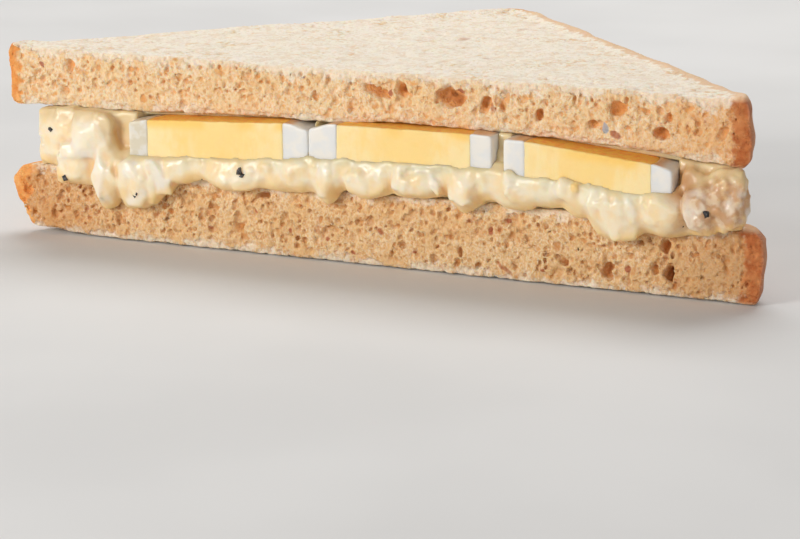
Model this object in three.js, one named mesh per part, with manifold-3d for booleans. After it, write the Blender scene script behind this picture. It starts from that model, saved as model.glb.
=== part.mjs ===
// One half of an egg mayonnaise sandwich, cut corner to corner: two slices of brown bread,
// egg mayonnaise, and three slices of boiled egg whose cut faces show along the front.
// Millimetres. +X runs along the cut, +Y from the cut towards the crust corner, +Z up.
import * as THREE from "three";
import { mergeVertices } from "three/addons/utils/BufferGeometryUtils.js";
import Module from "manifold-3d";

const wasm = await Module();
wasm.setup();

// ---- Driving dimensions ------------------------------------------------------------------

const SLICE_SIDE = 118; // the whole slice, before the diagonal cut
const CORNER_RADIUS = 10;
// From the middle of the cut to the middle of the box round the sandwich.
const ORIGIN = { x: 1.244, y: 37.2 };
const BOTTOM_REACH = 2.7; // the bottom slice's right half is this much longer
const GAP = 0.3; // clearance between pieces that touch
const EGG_FACE_Y = -2.5; // the eggs stand out of the cut by this much

// Heights along the cut, as [x, z].
const TOP_SLICE_UPPER = [
  [-79, 38.9], [-74, 38.1], [-58, 38.0], [-35, 38.3], [-12, 38.0],
  [20, 38.2], [50, 38.2], [70, 37.9], [79, 38.8],
];
const TOP_SLICE_UNDER = [
  [-79, 26.0], [-61, 26.2], [-47, 26.4], [-35, 27.0], [-22, 27.4], [-9, 27.3],
  [9, 28.3], [28, 28.1], [38, 27.9], [50, 27.3], [59, 26.8], [70, 25.6], [79, 25.0],
];
const BOTTOM_SLICE_UPPER = [
  [-79, 13.4], [-70, 14.2], [-55, 14.0], [-37, 14.3], [-20, 13.9],
  [0, 14.3], [25, 14.6], [42, 14.5], [60, 13.8], [72, 13.5], [79, 13.9],
];
// Heights away from the cut. The cut's own heights fade into them over FADE.
const FADE = 26;
const BACK = { topUpper: 38, topUnder: 26, bottomUpper: 14 };
const CRUST_RIM = { rise: 0.7, width: 4 }; // the upper face stands up along the crust
const BOWED = 18; // the top slice bows down to its crust over this distance
const CURL = { x: -79, reach: 20, rise: 1.2 }; // the bottom slice's left corner lifts

const FACE_RELIEF = { top: 0.25, bottom: 0.15 }; // how uneven the slices' upper faces are
// How uneven the cut faces are, and how much finer that is than the faces' unevenness.
const CUT_RELIEF = { size: 0.3, acrossX: 2.3, acrossZ: 14 };
const CUT_ROUNDING = 8; // the cut's edges draw in over this distance behind it
const CORNER_WIDTH = 1.6; // the slices' width where the two crusts meet
const CORNER_SHARE = 0.6; // of the crust's edge profile, at that corner

// How far a slice's edge draws in from its outline, as [share of the thickness, inset].
const TOP_LEFT_EDGE = [[0, 1.0], [0.15, 0.4], [0.5, 0.6], [0.85, 0], [1, 0.6]];
const TOP_RIGHT_EDGE = [[0, 1.6], [0.15, 0.4], [0.35, 0], [0.8, 0.8], [1, 1.6]];
const BOTTOM_LEFT_EDGE = [[0, 3.4], [0.3, 2.6], [0.5, 1.0], [0.75, 0], [1, 1.8]];
const BOTTOM_RIGHT_EDGE = [[0, 1.4], [0.2, 0.5], [0.6, 0], [0.85, 0.3], [1, 1.5]];
const TOP_CUT_EDGE = [[0, 0.9], [0.15, 0.4], [0.5, 0], [0.85, 0.1], [1, 0.7]];
const BOTTOM_CUT_EDGE = [[0, 0.5], [0.2, 0], [0.5, 0], [0.85, 0], [1, 0.5]];

// The slight waist in the left crust.
const WAIST = { y: 49, spread: 9, depth: 1.2 };

// Large pores open at the cut, as [x, z, half width, half height, depth].
const TOP_SLICE_PORES = [
  [-64.6, 34.4, 1.1, 1.6, 1.2], [-65.8, 29.6, 1.2, 1.2, 1.2],
  [3.4, 34.3, 3.4, 1.0, 1.8], [9.4, 35.0, 1.3, 1.6, 2.0], [19.4, 34.3, 3.1, 2.0, 2.6],
  [26.8, 33.3, 1.2, 2.0, 2.2], [37.6, 32.2, 0.9, 1.2, 1.8], [48.4, 31.2, 1.3, 1.0, 1.8],
  [52.9, 34.6, 1.8, 1.3, 1.8], [61.6, 30.4, 1.5, 1.4, 2.2],
];
const BOTTOM_SLICE_PORES = [
  [-21.3, 12.0, 1.6, 0.8, 1.4], [51.2, 3.9, 1.3, 1.8, 2.2], [63.5, 4.5, 1.2, 1.7, 3.6],
  [62.6, 9.4, 1.0, 1.6, 1.6], [-27, 5.0, 1.1, 0.9, 1.2], [9, 4.6, 1.0, 0.8, 1.2],
];

// The lower edge of the egg mayonnaise that hangs over the bottom slice's cut, as [x, z].
const HANGING_EDGE = [
  [-72.2, 15.2], [-69.6, 14.4], [-67, 13.6], [-63.6, 11.4], [-59.8, 11.4], [-56.6, 6.2],
  [-54.2, 7.2], [-52.6, 8.8], [-50.4, 7.2], [-47.4, 7.4], [-44.6, 9.4], [-41.6, 10.8],
  [-38.4, 13.6], [-34.8, 14.9], [-30.6, 13.2], [-24, 12.8], [-18.6, 14.4], [-15, 13.4],
  [-10.8, 14.4], [-6.2, 12.0], [-3.8, 14.4], [-1.4, 15.0], [2.2, 13.6], [6.4, 15.4],
  [10.6, 14.6], [16.6, 15.0], [19.4, 15.6], [23, 12.9], [27.6, 15.4], [32.2, 14.0],
  [38, 15.0], [43, 15.6], [47.2, 14.2], [50.8, 10.8], [53.6, 10.0], [57.4, 11.2],
  [60, 12.0], [65.2, 11.6], [70, 12.4], [74.6, 13.6], [78, 14.2],
];
// Its upper edge: under the top slice at both ends, just over the eggs' lower edges between.
const APRON_TOP = [
  [-72.2, 25.4], [-57.5, 25.7], [-52.5, 18.4], [-45, 18.6], [-12, 20.6], [-8, 21.2],
  [27, 21.6], [30, 22.4], [33, 21.4], [64, 19.8], [69, 22.6], [73, 24.6], [78, 24.3],
];
// rightSlant is how much further in its right end is at its full depth.
const APRON = {
  columns: 64, levels: 4, bulge: 0.9, perHang: 0.2, hangFrom: 15, depth: 3, rightSlant: 2.4,
};

// Lobes and chunks that stand out of it, as [x, z, half width, half height, bulge].
const LOBES = [
  [-67, 20.4, 3.9, 5.0, 2.4], [-59.6, 21.2, 5.2, 4.8, 3.4], [-62.4, 14.4, 5.0, 3.6, 3.4],
  [-55.4, 12.8, 2.8, 5.8, 4.5], [-47.2, 12.4, 4.8, 4.4, 3.8], [-37.6, 16.4, 4.6, 2.8, 3.0],
  [-27.2, 16.4, 5.2, 3.2, 3.4], [-18.4, 17.0, 3.9, 3.2, 3.0], [-11.8, 17.2, 3.0, 3.2, 3.3],
  [-5.6, 16.6, 2.1, 4.2, 3.7], [2.6, 17.8, 4.7, 3.6, 3.5], [13.6, 18.2, 5.5, 3.0, 3.1],
  [23.2, 17.6, 3.4, 4.3, 4.2], [28.6, 19.0, 2.0, 2.8, 2.6], [34, 18.4, 3.8, 3.8, 3.6],
  [41, 18.6, 2.8, 2.9, 2.8], [46.6, 17.8, 3.2, 3.5, 3.6], [54.2, 15.8, 4.6, 5.2, 4.8],
  [63.6, 16.2, 4.6, 4.4, 4.8], [70.6, 18.0, 3.0, 4.8, 4.6], [75.8, 19.6, 3.3, 5.2, 2.8],
];
// Lumps of egg mayonnaise along each crust edge.
const EDGE_LUMPS = { pitch: 9.6, size: 6.2, height: 5.0, margin: 1.3, first: 9, last: 77 };
const CORE_ROUNDING = 0.8;
const FILLING_INSET = { left: 7.2, right: 2.6, back: 6.0, fade: 12 };

// Egg slices: x is the middle, z the middle's height, lean the rise to the right in radians,
// behind the distance from the cut face back to the centre. yolkX shifts the yolk.
const EGGS = [
  { side: "left", x: -29.7, z: 22.3, lean: 0.05, behind: 1.0, radius: 19.9, yolk: 15.1,
    yolkX: -0.6, thickness: 7.4, faceY: EGG_FACE_Y },
  { side: "middle", x: 9.7, z: 23.7, lean: 0.012, behind: 1.0, radius: 19.15, yolk: 14.0,
    yolkX: 0.9, thickness: 7.6, faceY: EGG_FACE_Y },
  { side: "right", x: 48.3, z: 22.5, lean: -0.09, behind: 2.0, radius: 16.7, yolk: 12.6,
    yolkX: 0.1, thickness: 7.2, faceY: EGG_FACE_Y - 0.5 },
];
const EGG_SIDES = 32;
const EGG_ROUNDING = { white: 0.9, yolk: 0.4 };
const LOBE_ROOT = 1.2; // the lobes' middles lie this far behind the cut
const LOBE_SIDES = 8;
const LUMP_SIDES = 7;
const PORE_SIDES = 9;

// Columns and rows of the slices' and the filling's surfaces.
const COLUMNS = 38;
const FILLING_COLUMNS = 16;
const ROWS = [0, 2.6, 6.5, 13, 23, 35, 48, 60, 70, 75.5, 78.4, 79.2];
const LEVELS = [0, 0.2, 0.5, 0.8, 1];

// ---- Shape helpers -----------------------------------------------------------------------

const HALF_DIAGONAL = SLICE_SIDE / Math.SQRT2;
const CORNER_CENTRE = HALF_DIAGONAL - CORNER_RADIUS * Math.SQRT2;
const BEND = CORNER_RADIUS / Math.SQRT2;

function seededRandom(seed) {
  let state = seed;
  return () => {
    state = (state * 1664525 + 1013904223) % 4294967296;
    return state / 4294967296;
  };
}

function smoothstep(t) {
  const s = Math.min(Math.max(t, 0), 1);
  return s * s * (3 - 2 * s);
}

function mix(from, to, share) {
  return from + (to - from) * share;
}

// A smooth value between the points of a list of [position, value].
function along(points, position) {
  const last = points.length - 1;
  if (position <= points[0][0]) return points[0][1];
  if (position >= points[last][0]) return points[last][1];
  const next = points.findIndex(([at]) => at > position);
  const [from, low] = points[next - 1];
  const [to, high] = points[next];
  return mix(low, high, smoothstep((position - from) / (to - from)));
}

// Half the width of the cut slice at a distance y behind the cut.
function halfWidth(y) {
  if (y < BEND) return CORNER_CENTRE + Math.sqrt(CORNER_RADIUS ** 2 - Math.max(y, 0) ** 2);
  if (y < HALF_DIAGONAL - BEND) return HALF_DIAGONAL - y;
  return Math.sqrt(Math.max(CORNER_RADIUS ** 2 - (y - CORNER_CENTRE) ** 2, 0));
}

function waist(y) {
  return WAIST.depth * Math.exp(-(((y - WAIST.y) / WAIST.spread) ** 2));
}

// Distance in from the nearest crust, across the slice.
function fromCrust(x, y) {
  return Math.max((halfWidth(y) - Math.abs(x)) / Math.SQRT2, 0);
}

// Gentle unevenness of the faces, repeated from sines so that it has no seam.
function uneven(x, y, phase) {
  return (
    0.5 * Math.sin(0.21 * x + 1.7 * phase) * Math.cos(0.17 * y + phase) +
    0.3 * Math.sin(0.47 * x - 0.31 * y + 2.3 * phase) +
    0.2 * Math.sin(0.9 * y + 0.13 * x + phase)
  );
}

// The share of the cut's own heights: 1 at the cut, falling to 0 behind it.
function atTheCut(y) {
  return Math.exp(-((y / FADE) ** 2));
}

function topSliceUpper(x, y) {
  const rim = CRUST_RIM.rise * Math.exp(-((fromCrust(x, y) / CRUST_RIM.width) ** 2));
  const flat = mix(BACK.topUpper, along(TOP_SLICE_UPPER, x), atTheCut(y));
  return flat + rim * (1 - atTheCut(y)) + FACE_RELIEF.top * uneven(x, y, 1);
}

function topSliceUnder(x, y) {
  const inner = along(TOP_SLICE_UNDER, x);
  const back = mix(BACK.topUnder, inner, smoothstep(fromCrust(x, y) / BOWED));
  return mix(back, inner, atTheCut(y));
}

function bottomSliceUpper(x, y) {
  const flat = mix(BACK.bottomUpper, along(BOTTOM_SLICE_UPPER, x), atTheCut(y));
  return flat + FACE_RELIEF.bottom * uneven(x, y, 3) * smoothstep(y / 10);
}

function bottomSliceUnder(x, y) {
  const away = Math.hypot(x - CURL.x, y);
  return CURL.rise * (1 - smoothstep(away / CURL.reach));
}

// ---- Solids ------------------------------------------------------------------------------

// A closed solid whose surface is a lattice of columns, rows and levels: place(i, j, k) gives
// the position of a lattice point as a Vector3.
function latticeSolid(columns, rows, levels, place) {
  const index = new Map();
  const positions = [];
  const triangles = [];
  const vertex = (i, j, k) => {
    const key = (i * (rows + 1) + j) * (levels + 1) + k;
    if (!index.has(key)) {
      index.set(key, positions.length / 3);
      positions.push(...place(i, j, k).toArray());
    }
    return index.get(key);
  };
  const quad = (a, b, c, d, flip) => {
    if (flip) triangles.push(a, b, d, b, c, d);
    else triangles.push(a, b, c, a, c, d);
  };
  for (let i = 0; i < columns; i++) {
    for (let j = 0; j < rows; j++) {
      const flip = (i + j) % 2 === 1;
      quad(vertex(i, j, levels), vertex(i + 1, j, levels), vertex(i + 1, j + 1, levels),
        vertex(i, j + 1, levels), flip);
      quad(vertex(i, j, 0), vertex(i, j + 1, 0), vertex(i + 1, j + 1, 0),
        vertex(i + 1, j, 0), flip);
    }
  }
  for (let k = 0; k < levels; k++) {
    for (let i = 0; i < columns; i++) {
      const flip = (i + k) % 2 === 1;
      quad(vertex(i, 0, k), vertex(i + 1, 0, k), vertex(i + 1, 0, k + 1),
        vertex(i, 0, k + 1), flip);
      quad(vertex(i, rows, k), vertex(i, rows, k + 1), vertex(i + 1, rows, k + 1),
        vertex(i + 1, rows, k), flip);
    }
    for (let j = 0; j < rows; j++) {
      const flip = (j + k) % 2 === 1;
      quad(vertex(0, j, k), vertex(0, j, k + 1), vertex(0, j + 1, k + 1),
        vertex(0, j + 1, k), flip);
      quad(vertex(columns, j, k), vertex(columns, j + 1, k), vertex(columns, j + 1, k + 1),
        vertex(columns, j, k + 1), flip);
    }
  }
  return asManifold(positions, triangles);
}

function asManifold(positions, triangles) {
  const mesh = new wasm.Mesh({
    numProp: 3,
    vertProperties: Float32Array.from(positions),
    triVerts: Uint32Array.from(triangles),
  });
  return new wasm.Manifold(mesh);
}

function solidFrom(geometry) {
  const bare = geometry.clone();
  bare.deleteAttribute("normal");
  bare.deleteAttribute("uv");
  const merged = mergeVertices(bare, 1e-4);
  return asManifold(merged.attributes.position.array, merged.index.array);
}

// A rounded lump: a sphere stretched to the three half sizes and turned about Z.
function lump(x, y, z, halfX, halfY, halfZ, turn, sides) {
  const ball = new THREE.SphereGeometry(1, sides, Math.ceil(sides * 0.6));
  ball.scale(halfX, halfY, halfZ);
  ball.rotateZ(turn);
  ball.translate(x, y, z);
  return solidFrom(ball);
}

function joined(solids) {
  return solids.reduce((whole, solid) => whole.add(solid));
}

// A slice of bread between two heights.
function breadSlice({ upper, under, leftEdge, rightEdge, cutEdge, reach, phase }) {
  return latticeSolid(COLUMNS, ROWS.length - 1, LEVELS.length - 1, (i, j, k) => {
    const level = LEVELS[k];
    const row = ROWS[j];
    const left = -halfWidth(row) + waist(row) + along(leftEdge, level);
    const wide = halfWidth(row) * (1 + reach / HALF_DIAGONAL);
    const right = Math.max(wide - along(rightEdge, level), left + CORNER_WIDTH);
    const x = mix(left, right, i / COLUMNS);
    const drawIn = along(cutEdge, level) * (1 - smoothstep(row / CUT_ROUNDING));
    const bumps = uneven(CUT_RELIEF.acrossX * x, CUT_RELIEF.acrossZ * level, phase);
    const relief = j === 0 ? CUT_RELIEF.size * bumps : 0;
    const round = j === ROWS.length - 1 ? along(leftEdge, level) * CORNER_SHARE : 0;
    const z = mix(under(x, row), upper(x, row), level);
    return new THREE.Vector3(x, row + drawIn + relief - round, z);
  });
}

// The room near the cut between two heights, a little wider than the slice that fills it.
function sliceRoom(upper, under) {
  const rows = [-CUT_RELIEF.size - GAP, 6, 20];
  return latticeSolid(COLUMNS, rows.length - 1, 1, (i, j, k) => {
    const x = ((2 * i) / COLUMNS - 1) * SLICE_SIDE;
    const z = k === 0 ? under(x, rows[j]) - GAP : upper(x, rows[j]) + GAP;
    return new THREE.Vector3(x, rows[j], z);
  });
}

const TOP_SLICE = {
  upper: topSliceUpper, under: topSliceUnder, reach: 0, phase: 2,
  leftEdge: TOP_LEFT_EDGE, rightEdge: TOP_RIGHT_EDGE, cutEdge: TOP_CUT_EDGE,
};
const BOTTOM_SLICE = {
  upper: bottomSliceUpper, under: bottomSliceUnder, reach: BOTTOM_REACH, phase: 5,
  leftEdge: BOTTOM_LEFT_EDGE, rightEdge: BOTTOM_RIGHT_EDGE, cutEdge: BOTTOM_CUT_EDGE,
};

function openPores(slice, pores) {
  const holes = pores.map(([x, z, halfWide, halfHigh, depth]) =>
    lump(x, 0.2, z, halfWide, depth, halfHigh, 0, PORE_SIDES));
  return slice.subtract(joined(holes));
}

// The flat body of the filling, a little inside the bread all round.
function fillingCore() {
  const inner = GAP + 0.1;
  return latticeSolid(FILLING_COLUMNS, ROWS.length - 3, 2, (i, j, k) => {
    const row = ROWS[j];
    const near = 1 - smoothstep(row / FILLING_INSET.fade);
    const insetLeft = mix(FILLING_INSET.back, FILLING_INSET.left, near);
    const insetRight = mix(FILLING_INSET.back, FILLING_INSET.right, near);
    const roundIn = k === 1 ? 0 : CORE_ROUNDING;
    const left = -halfWidth(row) + insetLeft + roundIn + waist(row);
    const right = halfWidth(row) - insetRight - roundIn;
    const x = mix(left, right, i / FILLING_COLUMNS);
    const front = j === 0 ? 0.6 : 0;
    const low = bottomSliceUpper(x, row) + inner;
    const high = topSliceUnder(x, row) - inner;
    return new THREE.Vector3(x, row + front, mix(low, high, k / 2));
  });
}

// The face of the filling at the cut, which hangs over the bottom slice in drips.
function apron() {
  const from = HANGING_EDGE[0][0];
  const to = HANGING_EDGE[HANGING_EDGE.length - 1][0];
  return latticeSolid(APRON.columns, 1, APRON.levels, (i, j, k) => {
    const x = mix(from, j === 1 ? to - APRON.rightSlant : to, i / APRON.columns);
    const low = along(HANGING_EDGE, x);
    const level = k / APRON.levels;
    const z = mix(low, along(APRON_TOP, x), level);
    if (j === 1) return new THREE.Vector3(x, APRON.depth, z);
    const hang = Math.max(APRON.hangFrom - low, 0);
    const ends = smoothstep((x - from) / 5) * smoothstep((to - x) / 5);
    const full = (APRON.bulge + APRON.perHang * hang) * (0.3 + 0.7 * ends);
    const round = Math.sin(Math.PI * Math.min(0.12 + 0.8 * level, 1)) ** 0.7;
    return new THREE.Vector3(x, -1.1 - full * round, z);
  });
}

// Lumps that stand out of the filling along both crust edges, sized by a seeded draw.
function edgeLumps() {
  const random = seededRandom(11);
  const step = EDGE_LUMPS.pitch / Math.SQRT2;
  const lumps = [];
  for (const side of [-1, 1]) {
    for (let along45 = EDGE_LUMPS.first; along45 < EDGE_LUMPS.last; along45 += step) {
      const size = EDGE_LUMPS.size * (0.65 + 0.5 * random());
      const inward = (size + EDGE_LUMPS.margin + random()) / Math.SQRT2;
      const y = along45 - inward;
      const x = side * (HALF_DIAGONAL - along45 - inward);
      const z = 20 + 0.9 * (random() - 0.5);
      const halfHigh = EDGE_LUMPS.height * (0.7 + 0.3 * random());
      lumps.push(lump(x, y, z, size, size * 0.8, halfHigh, random() * 3, LUMP_SIDES));
    }
  }
  return joined(lumps);
}

function frontLobes() {
  const lobes = LOBES.map(([x, z, halfWide, halfHigh, bulge]) =>
    lump(x, LOBE_ROOT, z, halfWide, bulge + LOBE_ROOT, halfHigh, 0, LOBE_SIDES));
  return joined(lobes);
}

// A closed ring or disc about Z from a profile of [radius, height] points.
function turned(profile) {
  const points = profile.map(([radius, height]) => new THREE.Vector2(radius, height));
  const geometry = new THREE.LatheGeometry(points, EGG_SIDES);
  geometry.rotateX(Math.PI / 2);
  return geometry;
}

// Moves a turned piece to its egg's place.
function settle(geometry, egg, shift = 0) {
  geometry.translate(shift, 0, 0);
  geometry.rotateY(-egg.lean);
  geometry.translate(egg.x, egg.faceY + egg.behind, egg.z);
  return solidFrom(geometry);
}

// The block in front of an egg's cut face, which takes away what the knife did.
function cutAway(egg, faceY) {
  const block = new THREE.BoxGeometry(60, 60, 40);
  block.translate(egg.x, faceY - 30, egg.z);
  return solidFrom(block);
}

function discProfile(radius, half, round) {
  return [
    [0, -half], [radius - round, -half], [radius, -half + round],
    [radius, half - round], [radius - round, half], [0, half],
  ];
}

function eggYolk(egg) {
  const half = egg.thickness / 2;
  const disc = turned(discProfile(egg.yolk, half - 0.1, EGG_ROUNDING.yolk));
  return settle(disc, egg, egg.yolkX).subtract(cutAway(egg, egg.faceY));
}

function eggWhite(egg) {
  const half = egg.thickness / 2;
  const outer = settle(turned(discProfile(egg.radius, half, EGG_ROUNDING.white)), egg);
  const through = discProfile(egg.yolk + GAP, half + 2, EGG_ROUNDING.yolk);
  const hole = settle(turned(through), egg, egg.yolkX);
  return outer.subtract(hole).subtract(cutAway(egg, egg.faceY));
}

// The room that an egg slice takes up in the filling.
function eggRoom(egg) {
  const half = egg.thickness / 2 + GAP;
  const room = settle(turned(discProfile(egg.radius + GAP, half, EGG_ROUNDING.white)), egg);
  return room.subtract(cutAway(egg, egg.faceY - GAP));
}

function eggMayonnaise() {
  const face = apron().add(frontLobes())
    .subtract(sliceRoom(bottomSliceUpper, () => -GAP))
    .subtract(sliceRoom(() => SLICE_SIDE, topSliceUnder));
  let filling = fillingCore().add(face).add(edgeLumps());
  for (const egg of EGGS) filling = filling.subtract(eggRoom(egg));
  const pieces = filling.decompose();
  return pieces.reduce((most, piece) => (piece.volume() > most.volume() ? piece : most));
}

// ---- Materials and the finished sandwich -------------------------------------------------

const BREAD = new THREE.MeshStandardMaterial({ color: 0xd8b083, roughness: 0.95, metalness: 0 });
const MAYONNAISE = new THREE.MeshStandardMaterial({
  color: 0xefe2b8, roughness: 0.3, metalness: 0,
});
const EGG_WHITE = new THREE.MeshStandardMaterial({ color: 0xe4e4e0, roughness: 0.35, metalness: 0 });
const EGG_YOLK = new THREE.MeshStandardMaterial({ color: 0xf9cf7c, roughness: 0.7, metalness: 0 });

function meshOf(name, solid, material) {
  const { vertProperties, triVerts } = solid.getMesh();
  const geometry = new THREE.BufferGeometry();
  geometry.setAttribute("position", new THREE.BufferAttribute(vertProperties, 3));
  geometry.setIndex(new THREE.BufferAttribute(triVerts, 1));
  geometry.computeVertexNormals();
  const mesh = new THREE.Mesh(geometry, material);
  mesh.name = name;
  return mesh;
}

const sandwich = new THREE.Group();
sandwich.position.set(-ORIGIN.x, -ORIGIN.y, 0);
sandwich.add(
  meshOf("bread_top", openPores(breadSlice(TOP_SLICE), TOP_SLICE_PORES), BREAD),
  meshOf("bread_bottom", openPores(breadSlice(BOTTOM_SLICE), BOTTOM_SLICE_PORES), BREAD),
  meshOf("egg_mayonnaise", eggMayonnaise(), MAYONNAISE),
);
for (const egg of EGGS) {
  sandwich.add(meshOf(`egg_white_${egg.side}`, eggWhite(egg), EGG_WHITE));
  sandwich.add(meshOf(`egg_yolk_${egg.side}`, eggYolk(egg), EGG_YOLK));
}

const group = new THREE.Group();
group.add(sandwich);

export default group;
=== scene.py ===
"""Half of an egg mayonnaise sandwich, cut corner to corner and seen towards its cut face.

Every food surface is a closed mesh, taken from a distance field in millimetres: x runs along the
cut, y from the cut towards the crust corner and z up. mesh_object() moves it into the frame.
"""

import math

import bpy
import numpy as np
from mathutils import Matrix, Vector


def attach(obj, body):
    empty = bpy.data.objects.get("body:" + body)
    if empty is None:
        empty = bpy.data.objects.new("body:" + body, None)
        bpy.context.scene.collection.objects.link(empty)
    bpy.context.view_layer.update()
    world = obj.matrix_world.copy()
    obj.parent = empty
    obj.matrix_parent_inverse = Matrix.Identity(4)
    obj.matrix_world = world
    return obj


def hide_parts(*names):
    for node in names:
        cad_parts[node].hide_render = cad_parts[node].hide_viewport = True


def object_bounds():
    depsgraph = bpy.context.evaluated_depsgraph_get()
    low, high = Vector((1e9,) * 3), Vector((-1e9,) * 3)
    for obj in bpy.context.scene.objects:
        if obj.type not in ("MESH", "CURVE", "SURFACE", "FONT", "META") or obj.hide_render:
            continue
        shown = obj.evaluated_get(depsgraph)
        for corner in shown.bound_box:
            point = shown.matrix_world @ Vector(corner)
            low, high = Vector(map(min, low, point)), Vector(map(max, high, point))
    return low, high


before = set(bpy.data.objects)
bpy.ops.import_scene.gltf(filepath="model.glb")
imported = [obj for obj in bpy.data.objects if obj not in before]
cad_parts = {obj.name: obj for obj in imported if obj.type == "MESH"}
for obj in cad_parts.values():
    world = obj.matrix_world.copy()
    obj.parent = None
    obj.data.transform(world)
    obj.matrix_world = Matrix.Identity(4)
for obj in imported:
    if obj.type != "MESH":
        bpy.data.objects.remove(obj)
cad_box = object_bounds()

# ---- Sizes, in millimetres ----

MM = 0.001
ORIGIN = (1.244, 37.2, 0.0)  # of the shared frame, in the cut's frame
SLICE_SIDE = 118.0
HALF_DIAGONAL = SLICE_SIDE / math.sqrt(2)
CORNER_RADIUS = 10.0
BOTTOM_REACH = 2.7  # the bottom slice's right half is this much longer
# The visual model stays inside the solids' box, in metres.
LOWEST, HIGHEST = (np.array(corner) for corner in cad_box)
MOST_TRIANGLES = 190000  # in one piece
# Between the points of a grid.
SLICE_STEP = 0.27
FILLING_STEP = 0.32
EGG_STEP = 0.32
# Of the random draws; each slice has its own.
FILLING_SEED = 21
EGG_SEED = 40
PEPPER_SEED = 5

# ---- Colours, as screen values from 0 to 255 ----

# The slice's faces: paler than the cut crumb, partly painted light from the lamp above.
PALE_FACE = (244, 232, 214)
PALE_FACE_DARK = (228, 208, 180)
PALE_FACE_PATCHES = (234, 214, 190)
# Painted shade in the top face's hollows.
PALE_FACE_HOLLOW_SHADE = (226, 196, 160)
PALE_FACE_TAN = (230, 192, 150)
# Pairs are mixed by a noise.
CRUST_LEFT = ((226, 144, 72), (244, 182, 114))
# The right end's crust and skin are browner partly as painted shade of that shaded end.
CRUST_RIGHT = ((178, 98, 52), (208, 138, 84))
SKIN = ((186, 122, 92), (208, 144, 102))
RIM_TAN = (236, 204, 168)
# Painted shade inside the large pores, and a painted shadow deepest in them.
PORE_SHADE = (184, 112, 58)
PORE_BOTTOM_SHADOW = (96, 44, 16)
BRAN = (168, 76, 44)
SEED = (168, 170, 178)
MAYONNAISE = ((243, 229, 200), (245, 218, 171))
# Painted shade in the filling's creases.
MAYONNAISE_CREASE_SHADE = (226, 176, 110)
# Painted shade on the shelf just below the eggs, under the bread.
SHELF_SHADE = (228, 202, 154)
# A painted warm glow of light through the mayonnaise, on its shaded lower edges.
DRIP_EDGE_GLOW_SHADE = (248, 208, 136)
# Painted shade in the finely chopped right end and beside the right egg slice.
TAN_SHADE = (194, 138, 82)
CHOPPED_WHITE = (238, 234, 224)
YOLK_CRUMB = (248, 196, 100)
PEPPER_BLACK = ((42, 40, 40), (96, 92, 92))
EGG_WHITE = ((236, 232, 224), (228, 228, 226))
# Painted shade on the egg white's top under the bread, tinted by light bounced off the bread.
EGG_WHITE_TOP_SHADE = (222, 172, 124)
EGG_WHITE_COATED = (216, 206, 182)
YOLK = (254, 218, 144)
YOLK_RIM = (253, 226, 168)
YOLK_RICH = (255, 208, 116)
# Painted shade on the yolk's top under the bread, tinted orange by light bounced off the bread.
YOLK_TOP_SHADE = ((255, 194, 84), (255, 170, 78))
FLOOR_GREY = ((214, 213, 212), (220, 219, 218))

# ---- Shapes, in millimetres ----

# Heights along the cut, as (x, z).
TOP_SLICE_UPPER = (
    (-79, 38.7), (-74, 38.0), (-58, 37.9), (-35, 38.2), (-12, 37.9),
    (20, 38.1), (50, 38.1), (70, 37.8), (79, 38.6),
)
TOP_SLICE_UNDER = (
    (-79, 26.0), (-61, 26.2), (-47, 26.4), (-35, 27.0), (-22, 27.4), (-9, 27.3),
    (9, 28.3), (28, 28.1), (38, 27.9), (50, 27.3), (59, 26.8), (70, 25.6), (79, 25.0),
)
BOTTOM_SLICE_UPPER = (
    (-79, 13.4), (-70, 14.2), (-55, 14.0), (-37, 14.3), (-20, 13.9),
    (0, 14.3), (25, 14.6), (42, 14.5), (60, 13.8), (72, 13.5), (79, 13.9),
)
# Away from the cut, over the length FADE, the faces turn into these.
FADE = 26.0
BACK = {"top_upper": 37.9, "top_under": 26.0, "bottom_upper": 14.0}
CRUST_RIM = {"rise": 0.65, "width": 4.0}
BOWED = 18.0  # the top slice bows down to its crust over this length
CURL = {"x": -79.0, "reach": 20.0, "rise": 1.2}  # of the bottom slice's left corner
WAIST = {"y": 49.0, "spread": 9.0, "depth": 1.2}  # of the left side, seen from above

# How far a slice's edge draws in, as (share of the thickness, inset).
TOP_LEFT_EDGE = ((0, 0.9), (0.12, 0.4), (0.5, 0.7), (0.85, 0.1), (1, 0.5))
TOP_RIGHT_EDGE = ((0, 1.5), (0.15, 0.4), (0.35, 0.1), (0.8, 0.7), (1, 1.5))
BOTTOM_LEFT_EDGE = ((0, 3.4), (0.3, 2.5), (0.5, 1.0), (0.75, 0.1), (1, 1.8))
BOTTOM_RIGHT_EDGE = ((0, 1.3), (0.2, 0.5), (0.6, 0.1), (0.85, 0.3), (1, 1.4))
TOP_CUT_EDGE = ((0, 0.9), (0.15, 0.4), (0.5, 0), (0.85, 0.1), (1, 0.5))
BOTTOM_CUT_EDGE = ((0, 0.5), (0.2, 0), (0.5, 0), (0.85, 0), (1, 0.5))

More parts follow.
